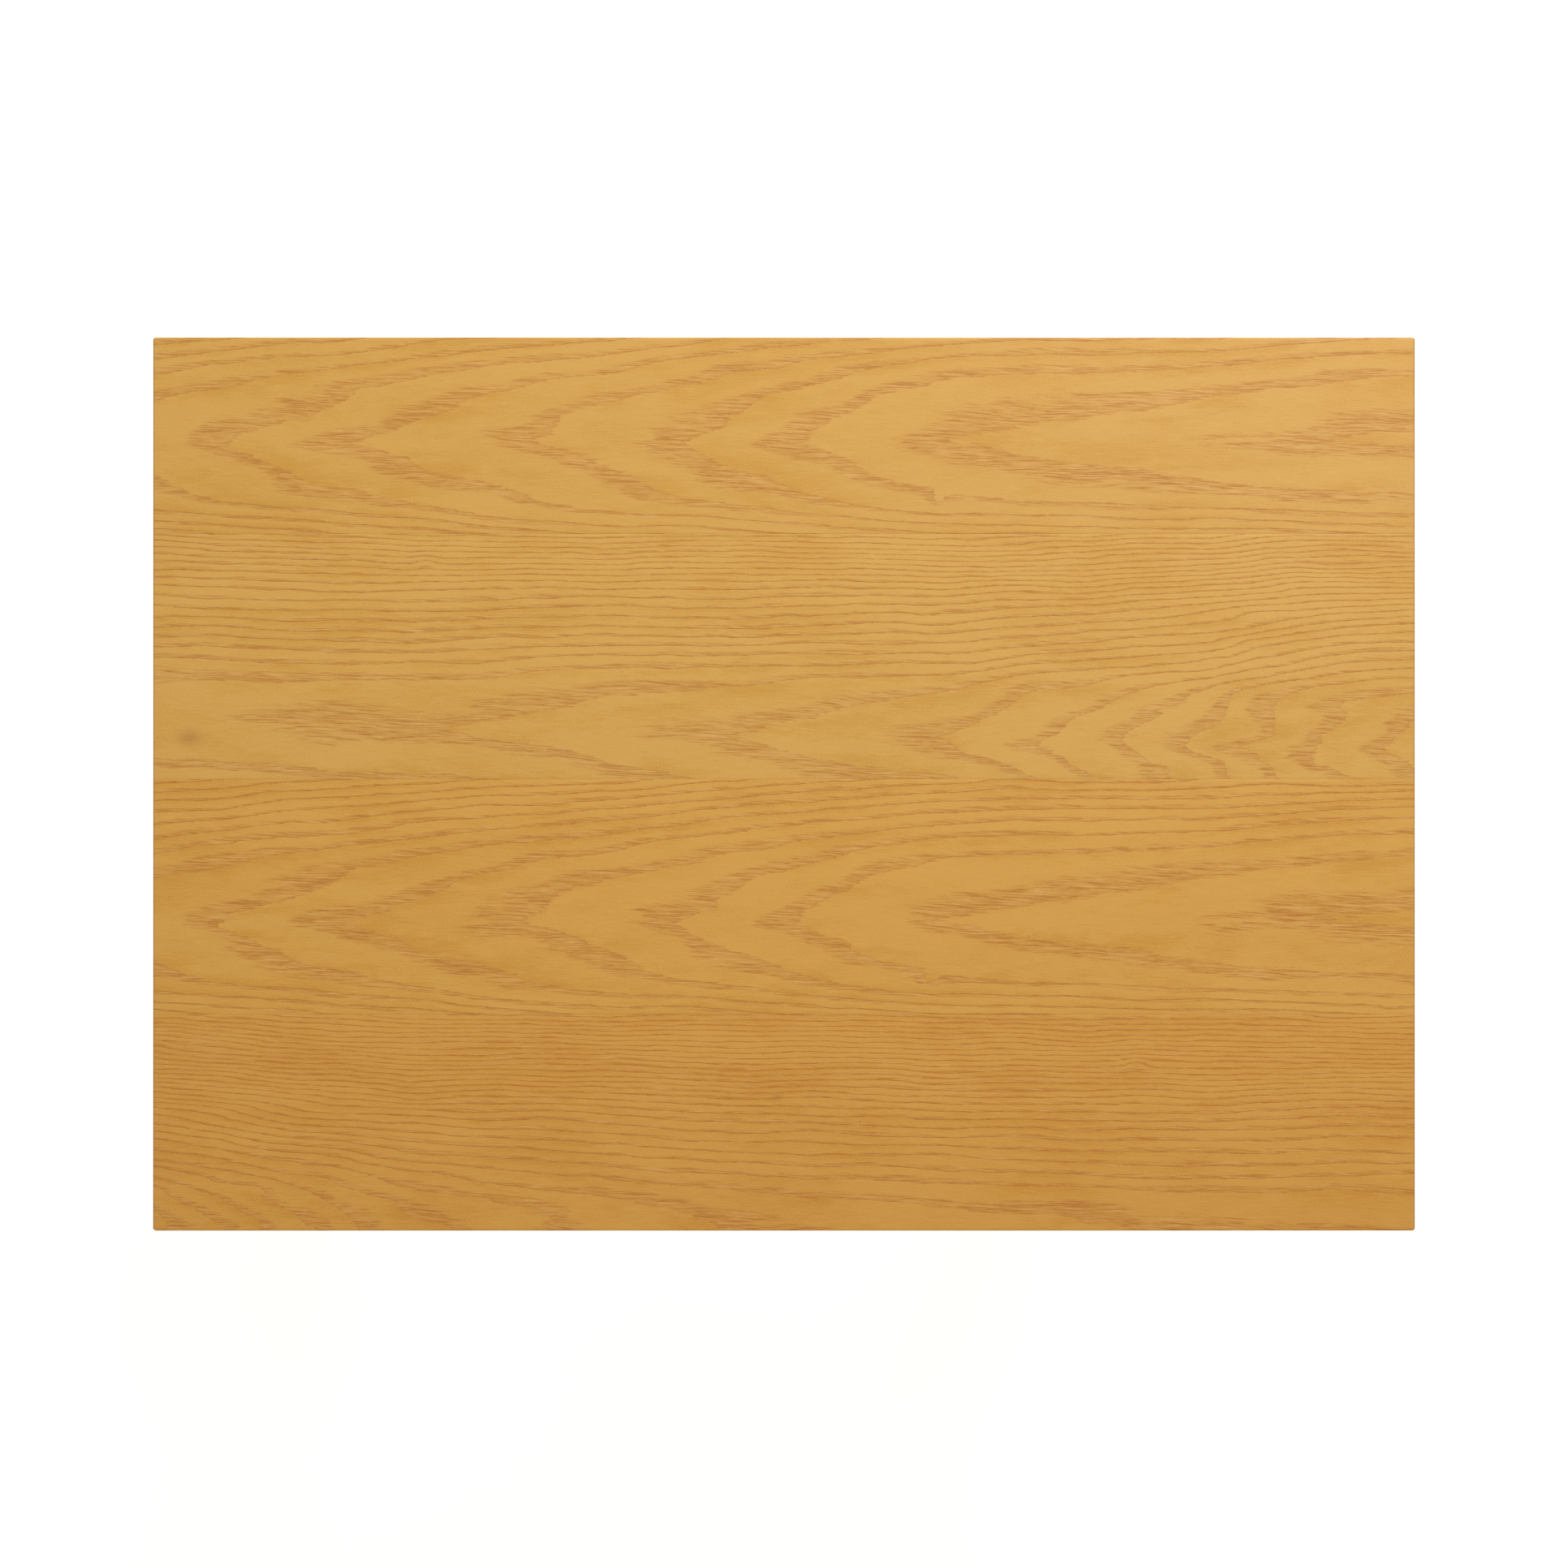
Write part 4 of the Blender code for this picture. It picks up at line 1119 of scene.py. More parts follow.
    def lay_veneer(self) -> None:
        """Lays four slip-matched leaves on the face, and four on the back."""
        coats = self.finishes
        low, high, _ = place("face_veneer")
        stops = [low.y, *(low.y + seam for seam in self.seams), high.y]
        figures = (STRAIGHT_TO_BANDS, FLAMES, STRAIGHT_TO_FLAMES, FLAMES)
        slips = (0.0, 0.0, 0.0, 6.0)
        stains = (coats.warm_ash, coats.honey_ash, coats.ash, coats.yellow_ash)
        for number, (figure, slip, stain) in enumerate(zip(figures, slips, stains)):
            leaf = Leaf(f"face_leaf_{number + 1}", stops[number], stops[number + 1], figure, slip)
            self.lay_leaf(leaf, True, stain, (0.37 * number, 0, 0.11))
        low, high, _ = place("back_veneer")
        quarter = (high.y - low.y) / 4
        for number in range(4):
            start = low.y + quarter * number
            figure = (STRAIGHT_TO_FLAMES, FLAMES)[number % 2]
            leaf = Leaf(f"back_leaf_{number + 1}", start, start + quarter, figure, 40.0)
            self.lay_leaf(leaf, False, coats.ash, (0.29 * number, 0, 0.43))

    def lip_edges(self) -> None:
        """Makes the four solid lippings, up to the veneer on both faces."""
        bottom, top = place("back_veneer")[1].z, place("face_veneer")[0].z
        for side in ("front", "back", "left", "right"):
            node = f"lipping_{side}"
            low, high, _ = place(node)
            if side in ("front", "back"):
                outline = self.one_side_rounded(low, high, side == "back")
                along, pith = Along.X, (0.2, 0.31, -0.66)
            else:
                outline = rectangle(low.xy, high.xy)
                along, pith = Along.Y, (0.4, 0.47, -0.70)
            strip = Slab(outline, bottom, top, 0.00015, Axes.XY_Z, steps=2).build(f"{node}_strip")
            finish_piece(strip, "board", "lipping", self.finishes.wood(f"{node}_ash", along, pith), (node,))

    def one_side_rounded(self, low: Vector, high: Vector, back: bool) -> Array:
        """A strip's plan with its two outer corners rounded."""
        radius = self.corner
        if back:
            right = arc((high.x - radius, high.y - radius), radius, 0, 90, 6)
            left = arc((low.x + radius, high.y - radius), radius, 90, 180, 6)
            return np.concatenate([[(low.x, low.y), (high.x, low.y)], right, left])
        left = arc((low.x + radius, low.y + radius), radius, 180, 270, 6)
        right = arc((high.x - radius, low.y + radius), radius, 270, 360, 6)
        return np.concatenate([left, right, [(high.x, high.y), (low.x, high.y)]])

    def build(self) -> None:
        """Builds every piece that tilts."""
        self.lay_veneer()
        self.lip_edges()
        dress_node("core_panel", self.finishes.core)
        for side, sign in SIDES.items():
            Batten(self.finishes, side, sign).build()
            Quadrant(self.finishes, side, sign).build()


def wood_screw(name: str, head: Point, down: Point, radius: float = 0.0042) -> bpy.types.Object:
    """A countersunk screw's head with a cross recess, its face a hair below the wood.

    Args:
        name: The piece's name.
        head: Centre of the head's face.
        down: The way that the screw drives, as a unit vector.
        radius: The head's radius.

    Returns:
        The new object.
    """
    recess = 0.55 * radius
    stations = (
        Station(0.0016, 0.0),
        Station(0.0012, recess * 0.5, Section.CROSS),
        Station(-0.0002, recess, Section.CROSS),
        Station(-0.0003, recess * 1.12, Section.CROSS),
        Station(-0.0003, radius * 0.93),
        Station(0.0, radius),
        Station(0.0026, radius * 0.45),
        Station(0.0120, radius * 0.40),
        Station(0.0140, 0.0),
    )
    return Revolved(head, down, stations, 40).build(name)


def turned_out(node: str, sign: int, stations: Iterable[Station], sides: int = 48) -> Revolved:
    """A solid turned about a CAD node's long axis, outward from its inner end.

    Args:
        node: The CAD node, which lies along x.
        sign: 1 where outward is towards positive x, -1 where it is not.
        stations: Cross-sections, with distances from the inner end.
        sides: Facets round the axis.

    Returns:
        The solid, ready to build.
    """
    low, high, centre = place(node)
    start = low.x if sign > 0 else high.x
    return Revolved((start, centre.y, centre.z), (sign, 0, 0), tuple(stations), sides)


@dataclass
class Batten:
    """The batten beside one post, bored for the pivot, with its screws."""

    finishes: Finishes
    side: str
    sign: int
    end_height: float = 0.022
    root_height: float = 0.032
    belly_half: float = 0.045
    shoulder: float = 0.090
    fillet: float = 0.020
    screws: tuple[float, ...] = (-0.245, -0.135, 0.135, 0.245)

    def outline(self, low: Vector, high: Vector) -> Array:
        """Arms that taper to their ends, and a belly whose corners are eased by short arcs."""
        root, end = high.z - self.root_height, high.z - self.end_height
        slope = math.atan2(root - low.z, self.shoulder - self.belly_half)
        ease = self.fillet * math.tan(slope / 2)
        degrees = math.degrees(slope)
        belly = arc((self.belly_half - ease, low.z + self.fillet), self.fillet, -90, -90 + degrees, 6)
        hollow_x = self.shoulder + ease
        hollow = arc((hollow_x, root - self.fillet), self.fillet, 90 + degrees, 90, 6)
        right = np.concatenate([belly, hollow, [(high.y, end), (high.y, high.z)]])
        left = right[::-1] * (-1, 1)
        return np.concatenate([right, left])

    def build(self) -> None:
        """Builds the batten and its screw heads."""
        node = f"batten_{self.side}"
        low, high, _ = place(node)
        pivot = place(f"pivot_bolt_{self.side}")[2]
        bore = circle((pivot.y, pivot.z), BORE)
        slab = Slab(self.outline(low, high), low.x, high.x, 0.0022, holes=(bore,))
        pith = (0.15 + 0.3 * self.sign, 0.06, -0.63)
        material = self.finishes.wood(f"{node}_ash", Along.Y, (pith[0], 0.36 * self.sign + 0.05, pith[2]))
        finish_piece(slab.build(f"{node}_arm"), "board", "solid_ash", material, (node,))
        middle = (low.x + high.x) / 2
        for number, y in enumerate(self.screws):
            share = (abs(y) - self.shoulder) / (high.y - self.shoulder)
            drop = self.root_height + (self.end_height - self.root_height) * share
            head = (middle, y, high.z - drop)
            screw = wood_screw(f"{node}_screw_{number + 1}", head, (0.0, 0.0, 1.0))
            finish_piece(screw, "board", "zinc_steel", self.finishes.zinc)


@dataclass
class Quadrant:
    """The slotted steel plate beside one post, its flange and the flange's screws."""

    finishes: Finishes
    side: str
    sign: int
    half_band: float = 0.014
    slot_half: float = SLOT_HALF
    slot_start: float = -89.0
    slot_end: float = -156.0
    hub: float = 0.019
    plate: float = 0.003
    arris: float = 0.0007

    def plate_slab(self, low: Vector, high: Vector, pivot: tuple[float, float], radius: float) -> Slab:
        """The plate's outline, its slot along the pivot's circle, its window and its bore.

        Args:
            low: Lowest corner of the CAD node.
            high: Highest corner of the CAD node.
            pivot: The pivot's place.
            radius: The slot's distance from it.

        Returns:
            The plate as a slab.
        """
        top = high.z
        outer = radius + self.half_band
        low_end, front_end = self.slot_start + 7, self.slot_end - 8
        front = arc(pivot, outer, front_end, front_end, 0)[0][0]
        outline = np.concatenate([
            [(self.hub, top)],
            arc(pivot, self.hub, 0, -45, 8),
            arc(pivot, outer, low_end, front_end, 48),
            [(front, top)],
        ])
        start, end, half = self.slot_start, self.slot_end, self.slot_half
        near_end = arc(pivot, radius, end, end, 0)[0]
        near_start = arc(pivot, radius, start, start, 0)[0]
        slot = np.concatenate([
            arc(pivot, radius + half, start, end, 40),
            arc(tuple(near_end), half, end, end - 180, 12)[1:-1],
            arc(pivot, radius - half, end, start, 40),
            arc(tuple(near_start), half, start + 180, start, 12)[1:-1],
        ])
        window = np.concatenate([
            arc(pivot, radius - self.half_band, -101, -152, 24),
            arc(pivot, 0.086, -162, -162, 0),
            arc(pivot, 0.046, -158, -158, 0),
            arc(pivot, 0.036, -132, -132, 0),
            arc(pivot, 0.046, -106, -106, 0),
        ])
        bore = circle(pivot, BORE)
        inner = low.x if self.sign > 0 else high.x
        span = sorted((inner, inner + self.sign * self.plate))
        return Slab(outline, *span, self.arris, holes=(slot, window, bore), steps=3)

    def flange_slab(self, low: Vector, high: Vector, front: float) -> Slab:
        """The flange: a strip under the board, bent from the plate's top edge."""
        inner = low.x if self.sign > 0 else high.x
        outer = high.x if self.sign > 0 else low.x
        span = sorted((inner + self.sign * self.arris, outer))
        outline = rectangle((span[0], front + 0.001), (span[1], self.hub - 0.001))
        return Slab(outline, high.z - self.plate, high.z, self.arris, Axes.XY_Z, steps=3)

    def build(self) -> None:
        """Builds the plate, the flange and the flange's two screws."""
        node = f"quadrant_{self.side}"
        low, high, _ = place(node)
        centre = place(f"pivot_bolt_{self.side}")[2]
        stud = place(f"tilt_stud_{self.side}")[2]
        pivot = (centre.y, centre.z)
        slab = self.plate_slab(low, high, pivot, centre.z - stud.z)
        finish_piece(slab.build(f"{node}_plate"), "board", "black_steel", self.finishes.powder, (node,))
        flange = self.flange_slab(low, high, low.y).build(f"{node}_flange")
        finish_piece(flange, "board", "black_steel", self.finishes.powder, (node,))
        x = (low.x + high.x) / 2 + self.sign * self.plate
        for number, y in enumerate((low.y + 0.02, self.hub - 0.02)):
            head = (x, y, high.z - self.plate)
            screw = wood_screw(f"{node}_screw_{number + 1}", head, (0.0, 0.0, 1.0))
            finish_piece(screw, "board", "zinc_steel", self.finishes.zinc)


# ---------------------------------------------------------------- members of the trestles
def upright_outline(low: Vector, high: Vector, bottom_radius: float = 0.004) -> Array:
    """An upright with a half-round head and small radii at its foot, in Y and Z."""
    radius = (high.y - low.y) / 2
    middle = (high.y + low.y) / 2
    head = arc((middle, high.z - radius), radius, 0, 180, 36)
    left = arc((low.y + bottom_radius, low.z + bottom_radius), bottom_radius, 180, 270, 4)
    right = arc((high.y - bottom_radius, low.z + bottom_radius), bottom_radius, 270, 360, 4)
    return np.concatenate([left, right, head])


def stadium(y: float, bottom: float, top: float, half: float) -> Array:
    """An upright slot with round ends, in Y and Z."""
    return np.concatenate([arc((y, top), half, 0, 180, 16), arc((y, bottom), half, 180, 360, 16)])


@dataclass
class Column:
    """One trestle's sliding post and its hardware.

    Attributes:
        slot_half: Half the slot's width.
        travel: How far the post slides.
        arris: Radius of the wood's arrises.
    """

    finishes: Finishes
    side: str
    sign: int
    slot_half: float = SLOT_HALF
    travel: float = 0.200
    arris: float = 0.0016

    def centre_of(self, kind: str) -> tuple[float, float]:
        """The (y, z) centre of one of this side's nodes."""
        middle = place(f"{kind}_{self.side}")[2]
        return middle.y, middle.z

    def post(self) -> None:
        """The slotted post, bored for its pivot, its insert and its rail screw."""
        node = f"post_{self.side}"
        low, high, _ = place(node)
        clamp, guide = self.centre_of("height_bolt")[1], self.centre_of("guide_pin")[1]
        slot = stadium(0.0, guide - self.travel - 0.0005, clamp + 0.0005, self.slot_half)
        holes = (
            slot,
            circle(self.centre_of("pivot_bolt"), BORE),
            circle(self.centre_of("threaded_insert"), 0.0064),
            circle(self.centre_of("rail_screw"), 0.0072),
        )
        slab = Slab(upright_outline(low, high), low.x, high.x, self.arris, holes=holes)
        pith = (0.8 + self.sign, 0.07, 0.33 * self.sign + 0.11)
        material = self.finishes.wood(f"{node}_ash", Along.Z, pith)
        finish_piece(slab.build(f"{node}_slotted"), "carriage", "solid_ash", material, (node,))

    def insert(self) -> None:
        """The flanged brass insert, knurled lightly round its rim."""
        node = f"threaded_insert_{self.side}"
        low, high, _ = place(node)
        length, radius = high.x - low.x, (high.z - low.z) / 2
        bore = BORE
        stations = (
            Station(0, bore), Station(0, radius * 0.9),
            Station(0.0008, radius), Station(length - 0.0004, radius),
            Station(length, radius - 0.0004), Station(length, bore + 0.0005), Station(length - 0.0005, bore),
            Station(0, bore),
        )
        piece = turned_out(node, self.sign, stations).build(f"{node}_brass")
        finish_piece(piece, "carriage", "brass", self.finishes.brass, (node,))

    def rail_screw(self) -> None:
        """The long socket-head screw into the cross rail, sunk below the post's face."""
        node = f"rail_screw_{self.side}"
        low, high, _ = place(node)
        length, radius = high.x - low.x, (high.z - low.z) / 2
        head, shank, socket = 0.0042, 0.003, 0.0031
        stations = (
            Station(0, 0), Station(0.003, shank),
            Station(length - head, shank), Station(length - head, radius),
            Station(length - 0.0005, radius), Station(length, radius - 0.0005),
            Station(length, socket * 1.12, Section.HEXAGON),
            Station(length - 0.0004, socket, Section.HEXAGON),
            Station(length - 0.0030, socket, Section.HEXAGON), Station(length - 0.0034, 0),
        )
        piece = turned_out(node, self.sign, stations, 60).build(f"{node}_socket")
        finish_piece(piece, "carriage", "zinc_steel", self.finishes.zinc, (node,))

    def pivot(self) -> None:
        """The pivot bolt with its threaded tip, its nut and the nylon spacer."""
        node = f"pivot_bolt_{self.side}"
        low, high, centre = place(node)
        length = high.x - low.x
        thread = [Station(s, SHANK - 0.0001) for s in np.arange(0.001, THREAD_END, THREAD_STEP)]
        stations = (
            Station(0, 0), Station(0, SHANK - 0.001), *thread,
            Station(0.0126, SHANK), Station(length - DOME_TALL, SHANK), *dome_cap(length),
        )
        bolt = turned_out(node, self.sign, stations)
        piece = ThreadedEnd(bolt, THREAD_END, PITCH, THREAD_DEPTH).build(f"{node}_domed")
        finish_piece(piece, "carriage", "zinc_steel", self.finishes.zinc, (node,))
        node = f"pivot_nut_{self.side}"
        low, high, centre = place(node)
        hexagon = circle((centre.y, centre.z), (high.y - low.y) / 2, 6)
        bore = circle((centre.y, centre.z), BORE)
        slab = Slab(hexagon, low.x, high.x, 0.0006, holes=(bore,), steps=3)
        finish_piece(slab.build(f"{node}_hexagon"), "carriage", "zinc_steel", self.finishes.zinc, (node,))
        node = f"pivot_spacer_{self.side}"
        low, high, centre = place(node)
        ring = circle((centre.y, centre.z), (high.z - low.z) / 2, 64)
        slab = Slab(ring, low.x, high.x, 0.0002, holes=(bore,), steps=2)
        finish_piece(slab.build(f"{node}_nylon"), "carriage", "nylon", self.finishes.nylon, (node,))

    def build(self) -> None:
        """Builds the post and its hardware."""
        self.post()
        self.insert()
        self.rail_screw()
        self.pivot()


@dataclass(frozen=True)
class ThreadedEnd:
    """A turned bolt whose first stretch is threaded.

    Within the thread, the radius loses a triangle wave of distance over pitch less angle over a turn.
    """

    bolt: Revolved
    length: float
    pitch: float
    depth: float

    def build(self, name: str) -> bpy.types.Object:
        """Builds the bolt, then cuts the thread into its points.

        Args:
            name: The piece's name.

        Returns:
            The new object.
        """
        piece = self.bolt.build(name)
        co = np.zeros(len(piece.data.vertices) * 3, np.float32)
        piece.data.vertices.foreach_get("co", co)
        points = co.reshape(-1, 3).astype(float)
        origin, axis = np.array(self.bolt.origin), np.array(self.bolt.axis, float)
        along = (points - origin) @ axis
        radial = points - origin - along[:, None] * axis
        radius = np.linalg.norm(radial, axis=1)
        angle = np.arctan2(radial[:, 2], radial[:, 1])
        phase = (along / self.pitch - angle / (2 * math.pi)) % 1.0
        carries = (along > WELD) & (along < self.length) & (radius > 0.0035)
        cut = self.depth * np.abs(2 * phase - 1) * carries
        points -= radial / np.maximum(radius, WELD)[:, None] * cut[:, None]
        piece.data.vertices.foreach_set("co", points.astype(np.float32).ravel())
        piece.data.update()
        return piece


@dataclass
class Clamp:
    """A star knob with its washer, and its stud where it carries one.

    Attributes:
        kind: tilt or height.
        side: left or right.
        hub: Radius of the round hub under the star.
    """

    finishes: Finishes
    kind: str
    side: str
    sign: int
    hub: float = 0.0095
    bore: float = BORE
    bore_depth: float = 0.015

    def knob(self) -> None:
        """The knob: a round hub that swells into a five-lobed star with a dished top."""
        node = f"{self.kind}_knob_{self.side}"
        low, high, _ = place(node)
        depth = high.x - low.x
        reach = (high.y - low.y) / 2
        under, top = 0.005, depth
        stations = [
            Station(self.bore_depth, 0), Station(self.bore_depth, self.bore), Station(0.0004, self.bore),
            Station(0, self.bore + 0.0005), Station(0, self.hub - 0.0006), Station(0.0006, self.hub),
            Station(under, self.hub, Section.STAR, 0.2),
        ]
        for t in np.radians(np.arange(-90, 1, 15)):
            grow = 0.0030 * (1 + math.sin(t))
            stations.append(Station(under + grow, reach - 0.0030 * (1 - math.cos(t)), Section.STAR))
        for t in np.radians(np.arange(0, 91, 15)):
            rise = top - 0.0040 * (1 - math.sin(t))
            stations.append(Station(rise, reach - 0.0040 * (1 - math.cos(t)), Section.STAR))
        dish = 0.60 * reach
        stations += [
            Station(top, dish + 0.0015, Section.STAR, 0.35),
            Station(top - 0.0003, dish + 0.0006, Section.STAR, 0.1),
            Station(top - 0.0012, dish - 0.0004), Station(top - 0.0014, dish - 0.0015),
            Station(top - 0.0012, dish * 0.5), Station(top - 0.0011, 0),
        ]
        knob = turned_out(node, self.sign, stations, 120)
        finish_piece(knob.build(f"{node}_star"), node, "knob_plastic", self.finishes.knob, (node,))

    def washer(self) -> None:
        """The flat washer, its stamped edge eased."""
        node = f"{self.kind}_washer_{self.side}"
        low, high, centre = place(node)
        outer = circle((centre.y, centre.z), (high.z - low.z) / 2, 72)
        inner = circle((centre.y, centre.z), self.bore)
        slab = Slab(outer, low.x, high.x, 0.0003, holes=(inner,), steps=3)
        finish_piece(slab.build(f"{node}_stamped"), node, "zinc_steel", self.finishes.zinc, (node,))

    def stud(self) -> None:
        """The tilt knob's threaded stud."""
        node = f"tilt_stud_{self.side}"
        low, high, _ = place(node)
        length = high.x - low.x
        threads = [Station(s, SHANK) for s in np.arange(0.0008, length - 0.001, THREAD_STEP)]
        stations = (Station(0, 0), Station(0, 0.0032), *threads, Station(length, SHANK), Station(length, 0))
        stud = turned_out(node, self.sign, stations, 32)
        piece = ThreadedEnd(stud, length - 0.001, PITCH, THREAD_DEPTH).build(f"{node}_thread")
        finish_piece(piece, f"tilt_knob_{self.side}", "zinc_steel", self.finishes.zinc, (node,))

    def build(self) -> None:
        """Builds the clamp's pieces."""
        self.washer()
        self.knob()
        if self.kind == "tilt":
            self.stud()


@dataclass
class Trestle:
    """One side of the base: foot, cheeks, spacer, dowels, glides and its fixed hardware."""

    finishes: Finishes
    side: str
    sign: int
    arris: float = 0.0018
    nose: float = 0.012
    pad: float = 0.090
    arch: float = 0.014
    crown: float = 0.085
    end_height: float = 0.036

    def foot_outline(self, low: Vector, high: Vector) -> Array:
        """A level crown, straight tapers to rounded noses, and an arch between two pads.

        The arch rises from a pad as half of one plus a cosine, runs level under the column, and falls
        again.
        """
        end_top = low.z + self.end_height
        half = high.y
        reach = half - self.pad
        y = np.linspace(-reach, reach, 49)
        ease = 0.5 + 0.5 * np.cos(math.pi * (2 * np.abs(y) / reach - 1))
        rise = self.arch * np.where(np.abs(y) < reach / 2, 1.0, ease)
        arch = np.stack([y, low.z + rise], axis=1)
        toe = self.nose / 2
        right = np.concatenate([
            arc((half - toe, low.z + toe), toe, -90, 0, 5),
            arc((half - self.nose, end_top - self.nose), self.nose, 0, 82, 10),
            [
                (self.crown + 0.02, high.z - 0.0022),
                (self.crown, high.z - 0.0003),
                (self.crown - 0.02, high.z),
            ],
        ])
        left = right[::-1] * (-1, 1)
        return np.concatenate([arch, right, left])

    def foot(self) -> None:
        """The foot, bored for nothing that shows: the dowels fill their holes."""
        node = f"foot_{self.side}"
        low, high, _ = place(node)
        slab = Slab(self.foot_outline(low, high), low.x, high.x, 0.0024)
        material = self.finishes.wood(f"{node}_ash", Along.Y, (0.3, 0.33 * self.sign + 0.06, 0.09))
        finish_piece(slab.build(f"{node}_shaped"), "base", "solid_ash", material, (node,))

    def cheeks(self) -> None:
        """The two cheeks, each bored where a bolt passes through."""
        for number, kind in enumerate(("inner", "outer")):
            node = f"cheek_{kind}_{self.side}"
            low, high, _ = place(node)
            bolts = [place(f"{name}_{self.side}")[2] for name in ("height_bolt", "guide_pin", "frame_bolt")]
            holes = tuple(circle((bolt.y, bolt.z), BORE) for bolt in bolts)
            slab = Slab(upright_outline(low, high), low.x, high.x, self.arris, holes=holes)
            pith = (0.5 + 0.37 * number, 0.05 - 0.1 * number, 0.33 * self.sign + 0.08 * (number + 1))
            material = self.finishes.wood(f"{node}_ash", Along.Z, pith)
            finish_piece(slab.build(f"{node}_shaped"), "base", "solid_ash", material, (node,))

    def spacer(self) -> None:
        """The spacer block between the cheeks."""
        node = f"spacer_block_{self.side}"
        low, high, _ = place(node)
        slab = Slab(rectangle((low.y, low.z), (high.y, high.z)), low.x, high.x, 0.0012)
        material = self.finishes.wood(f"{node}_ash", Along.Z, (1.9, 0.04, 0.33 * self.sign + 0.06))
        finish_piece(slab.build(f"{node}_shaped"), "base", "solid_ash", material, (node,))

    def dowels(self) -> None:
        """The dowels' sanded ends stand a hair proud of the cheeks."""
        for spot in ("front", "back"):
            node = f"foot_dowel_{spot}_{self.side}"
            low, high, centre = place(node)
            radius, length, proud = (high.z - low.z) / 2, high.x - low.x, 0.00025
            stations = (
                Station(-proud, 0), Station(-proud, radius - 0.0008), Station(0.0003, radius),
                Station(length - 0.0003, radius),
                Station(length + proud, radius - 0.0008), Station(length + proud, 0),
            )
            piece = Revolved((low.x, centre.y, centre.z), (1, 0, 0), stations).build(f"{node}_pin")
            finish = self.finishes.dowel_ash
            shift = (0, 0.02 - centre.y, 0.004 - centre.z)
            material = finish.solid(self.finishes.library, f"{node}_ash", Along.X, shift)
            finish_piece(piece, "base", "dowel", material, (node,))

    def height_bolt(self) -> None:
        """The carriage bolt, its dome on the inner cheek."""
        node = f"height_bolt_{self.side}"
        low, high, _ = place(node)
        length = high.x - low.x
        stations = (
            Station(0, 0), Station(0, SHANK - 0.001),
            Station(0.001, SHANK), Station(length - DOME_TALL, SHANK), *dome_cap(length),
        )
        piece = turned_out(node, -self.sign, stations).build(f"{node}_domed")
        finish_piece(piece, "base", "zinc_steel", self.finishes.zinc, (node,))

    def frame_bolt(self) -> None:
        """The wide-headed socket bolt through the column, and its barrel nut in the stretcher."""
        node = f"frame_bolt_{self.side}"
        low, high, centre = place(node)
        length, radius, shank, head, socket = high.x - low.x, (high.z - low.z) / 2, SHANK, 0.003, 0.0029
        crown = [Station(length - head + head * math.sin(t), radius - 0.0022 * (1 - math.cos(t)))
                 for t in np.radians(range(0, 91, 15))]
        stations = (
            Station(0, 0), Station(0, shank - 0.0008),
            Station(0.0008, shank), Station(length - head, shank), *crown,
            Station(length, socket * 1.14, Section.HEXAGON),
            Station(length - 0.0004, socket, Section.HEXAGON),
            Station(length - 0.0024, socket, Section.HEXAGON), Station(length - 0.0026, 0),
        )
        piece = turned_out(node, self.sign, stations, 60).build(f"{node}_socket")
        finish_piece(piece, "base", "zinc_steel", self.finishes.zinc, (node,))
        node = f"barrel_nut_{self.side}"
        low, high, centre = place(node)
        length, radius = high.y - low.y, (high.z - low.z) / 2
        slot = 0.3 * radius
        stations = (
            Station(0.0012, 0), Station(0.0008, slot, Section.CROSS), Station(0, slot * 2.2, Section.CROSS),
            Station(0, radius - 0.0005), Station(0.0005, radius), Station(length - 0.0005, radius),
            Station(length, radius - 0.0005), Station(length, 0),
        )
        piece = Revolved((centre.x, low.y, centre.z), (0, 1, 0), stations).build(f"{node}_turned")
        finish_piece(piece, "base", "zinc_steel", self.finishes.zinc, (node,))

    def glides(self) -> None:
        """The moulded glides: a soft-edged disc on a thin neck against the foot."""
        for spot in ("front", "back"):
            node = f"glide_{spot}_{self.side}"
            low, high, centre = place(node)
            radius, tall = (high.x - low.x) / 2, high.z - low.z
            foot = [Station(0.0012 * (1 - math.cos(t)), radius - 0.0012 * (1 - math.sin(t)))
                    for t in np.radians(range(0, 91, 15))]
            stations = (
                Station(0, 0), *foot,
                Station(tall - 0.0016, radius - 0.0006), Station(tall - 0.0011, radius - 0.0016),
                Station(tall - 0.0008, radius - 0.0030),
                Station(tall + 0.0002, radius - 0.0030), Station(tall + 0.0002, 0),
            )
            piece = Revolved((centre.x, centre.y, low.z), (0, 0, 1), stations).build(f"{node}_moulded")
            finish_piece(piece, "base", "glide_plastic", self.finishes.glide, (node,))

    def build(self) -> None:
        """Builds this side of the base."""
        self.foot()
        self.cheeks()
        self.spacer()
        self.dowels()
        self.height_bolt()
        self.frame_bolt()
        self.glides()
        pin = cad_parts[f"guide_pin_{self.side}"]
        pin.data.materials.clear()
        pin.data.materials.append(self.finishes.zinc)


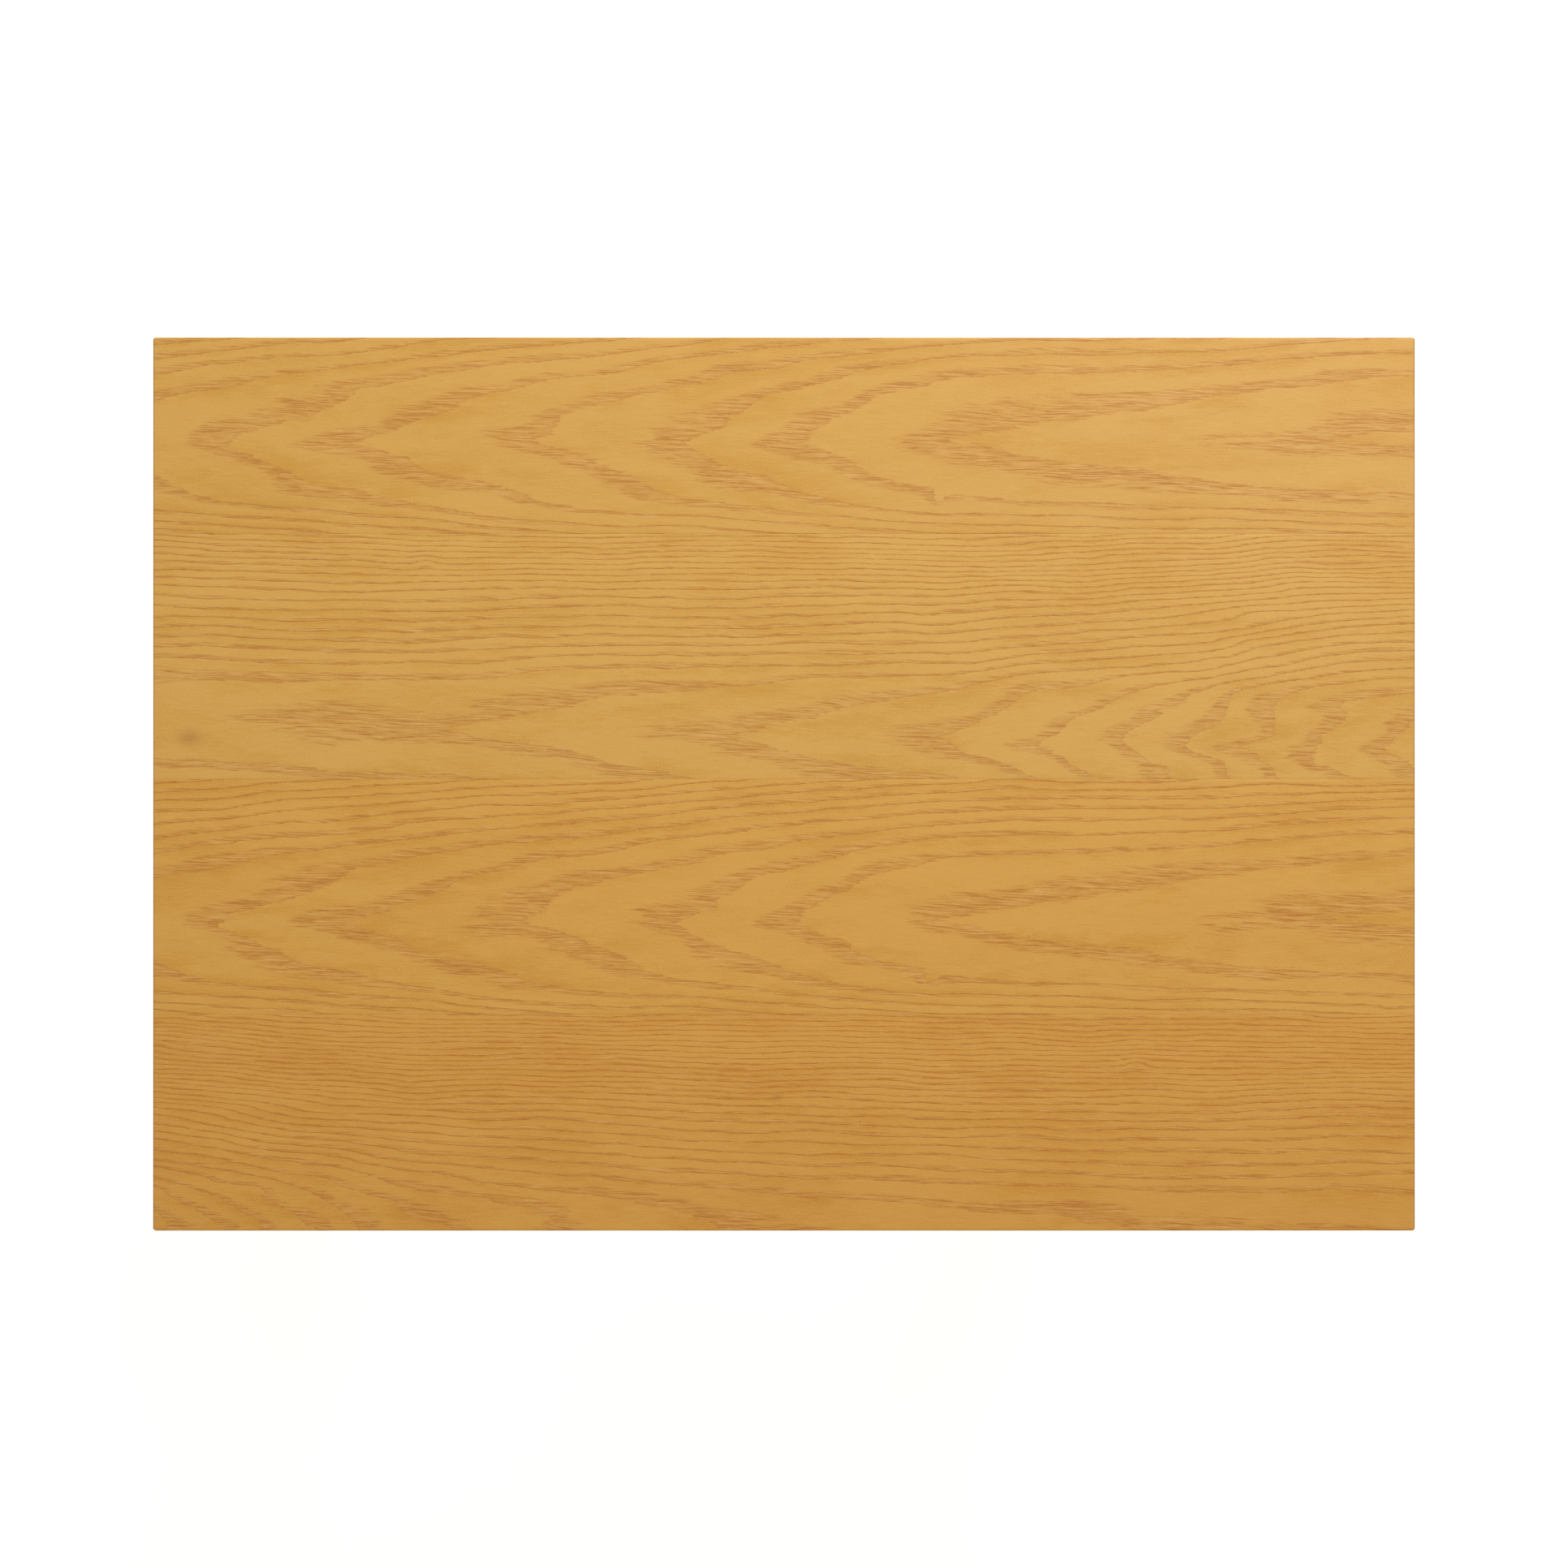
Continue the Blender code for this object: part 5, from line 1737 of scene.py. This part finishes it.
@dataclass
class Rails:
    """The cross rail between the posts and the stretcher between the trestles."""

    finishes: Finishes
    arris: float = 0.0024

    def build(self) -> None:
        """Builds both rails, with the stretcher bored for its barrel nuts."""
        low, high, _ = place("cross_rail")
        slab = Slab(rectangle((low.x, low.z), (high.x, high.z)), low.y, high.y, self.arris, Axes.XZ_Y)
        material = self.finishes.wood("cross_rail_ash", Along.X, (0.7, 0.08, -0.60))
        finish_piece(slab.build("cross_rail_shaped"), "carriage", "solid_ash", material, ("cross_rail",))
        low, high, _ = place("stretcher")
        nuts = [place(f"barrel_nut_{side}")[2] for side in SIDES]
        holes = tuple(circle((nut.x, nut.z), 0.0063) for nut in nuts)
        outline = rectangle((low.x, low.z), (high.x, high.z))
        slab = Slab(outline, low.y, high.y, self.arris, Axes.XZ_Y, holes)
        material = self.finishes.wood("stretcher_ash", Along.X, (0.1, 0.06, -0.16))
        finish_piece(slab.build("stretcher_shaped"), "base", "solid_ash", material, ("stretcher",))


# ---------------------------------------------------------------- studio
@dataclass
class Studio:
    """A white floor, soft light and a camera straight above the board.

    Attributes:
        lens: Focal length, in millimetres.
        sensor: Sensor width, in millimetres.
        share: The board's width as a share of the picture's.
        world: Strength of the light all round.
    """

    lens: float = 85.0
    sensor: float = 36.0
    share: float = 0.8049
    world: float = 0.56

    def floor(self) -> None:
        """A wide pale floor that gives back a little light."""
        points = np.array([(-9, -9, 0), (9, -9, 0), (9, 9, 0), (-9, 9, 0)], float)
        mesh = bpy.data.meshes.new("floor")
        mesh.from_pydata(points.tolist(), [], [[0, 1, 2, 3]])
        floor = bpy.data.objects.new("floor", mesh)
        bpy.context.scene.collection.objects.link(floor)
        material, graph, shader = new_material("studio_floor")
        tone = graph.ramp(graph.noise(graph.object_vector(), 1.2, 2.0), 0.3, 0.7)
        colour = graph.mix(tone, (0.90, 0.90, 0.90, 1.0), (0.93, 0.93, 0.93, 1.0))
        glow = {"Emission Color": (1.0, 1.0, 1.0, 1.0), "Emission Strength": 0.42}
        graph.feed(shader, {"Base Color": colour, "Roughness": 0.8, **glow})
        mesh.materials.append(material)

    def area(self, name: str, at: Point, aim: Point, size: float, power: float) -> None:
        """Adds a square area light.

        Args:
            name: The light's name.
            at: Where it stands.
            aim: What it faces.
            size: Its side.
            power: Its power, in watts.
        """
        data = bpy.data.lights.new(name, "AREA")
        data.size = size
        data.energy = power
        light = bpy.data.objects.new(name, data)
        light.location = at
        light.rotation_euler = (Vector(aim) - Vector(at)).to_track_quat("-Z", "Y").to_euler()
        bpy.context.scene.collection.objects.link(light)

    def camera(self) -> None:
        """Sets the camera above the board's centre, far enough for the board's share of the picture."""
        low, high, centre = place("face_veneer")
        distance = (high.x - low.x) / self.share * self.lens / self.sensor
        data = bpy.data.cameras.new("camera")
        data.type = "PERSP"
        data.lens = self.lens
        data.sensor_width = self.sensor
        data.clip_end = 60.0
        camera = bpy.data.objects.new("camera", data)
        camera.location = (centre.x, centre.y, high.z + distance)
        bpy.context.scene.collection.objects.link(camera)
        bpy.context.scene.camera = camera

    def build(self) -> None:
        """Builds the studio."""
        scene = bpy.context.scene
        scene.view_settings.view_transform = "Standard"
        scene.view_settings.look = "None"
        world = bpy.data.worlds.new("studio")
        world.use_nodes = True
        graph = Graph(world.node_tree)
        seen = graph.add("ShaderNodeLightPath", {}).outputs["Is Camera Ray"]
        strength = graph.math("MULTIPLY_ADD", seen, 1.0 - self.world, self.world)
        background = world.node_tree.nodes["Background"]
        background.inputs[0].default_value = (1.0, 1.0, 1.0, 1.0)
        graph.tree.links.new(strength, background.inputs[1])
        scene.world = world
        self.floor()
        self.area("key", (0.6, 1.95, 2.3), (0.05, 0.35, 0.7), 1.3, 55.0)
        self.area("fill", (-2.2, -2.4, 2.2), (0.0, 0.0, 0.5), 2.4, 9.0)
        self.area("sheen", (0.95, 0.85, 4.4), (0.3, 0.3, 0.76), 0.7, 5.5)
        self.camera()


def main() -> None:
    """Builds the table round its frame, then the studio."""
    logging.basicConfig(level=logging.INFO, format="%(name)s: %(message)s")
    finishes = Finishes()
    Board(finishes).build()
    Rails(finishes).build()
    for side, sign in SIDES.items():
        Column(finishes, side, sign).build()
        Trestle(finishes, side, sign).build()
        for kind in ("tilt", "height"):
            Clamp(finishes, kind, side, sign).build()
    Studio().build()


if __name__ == "__main__":
    main()
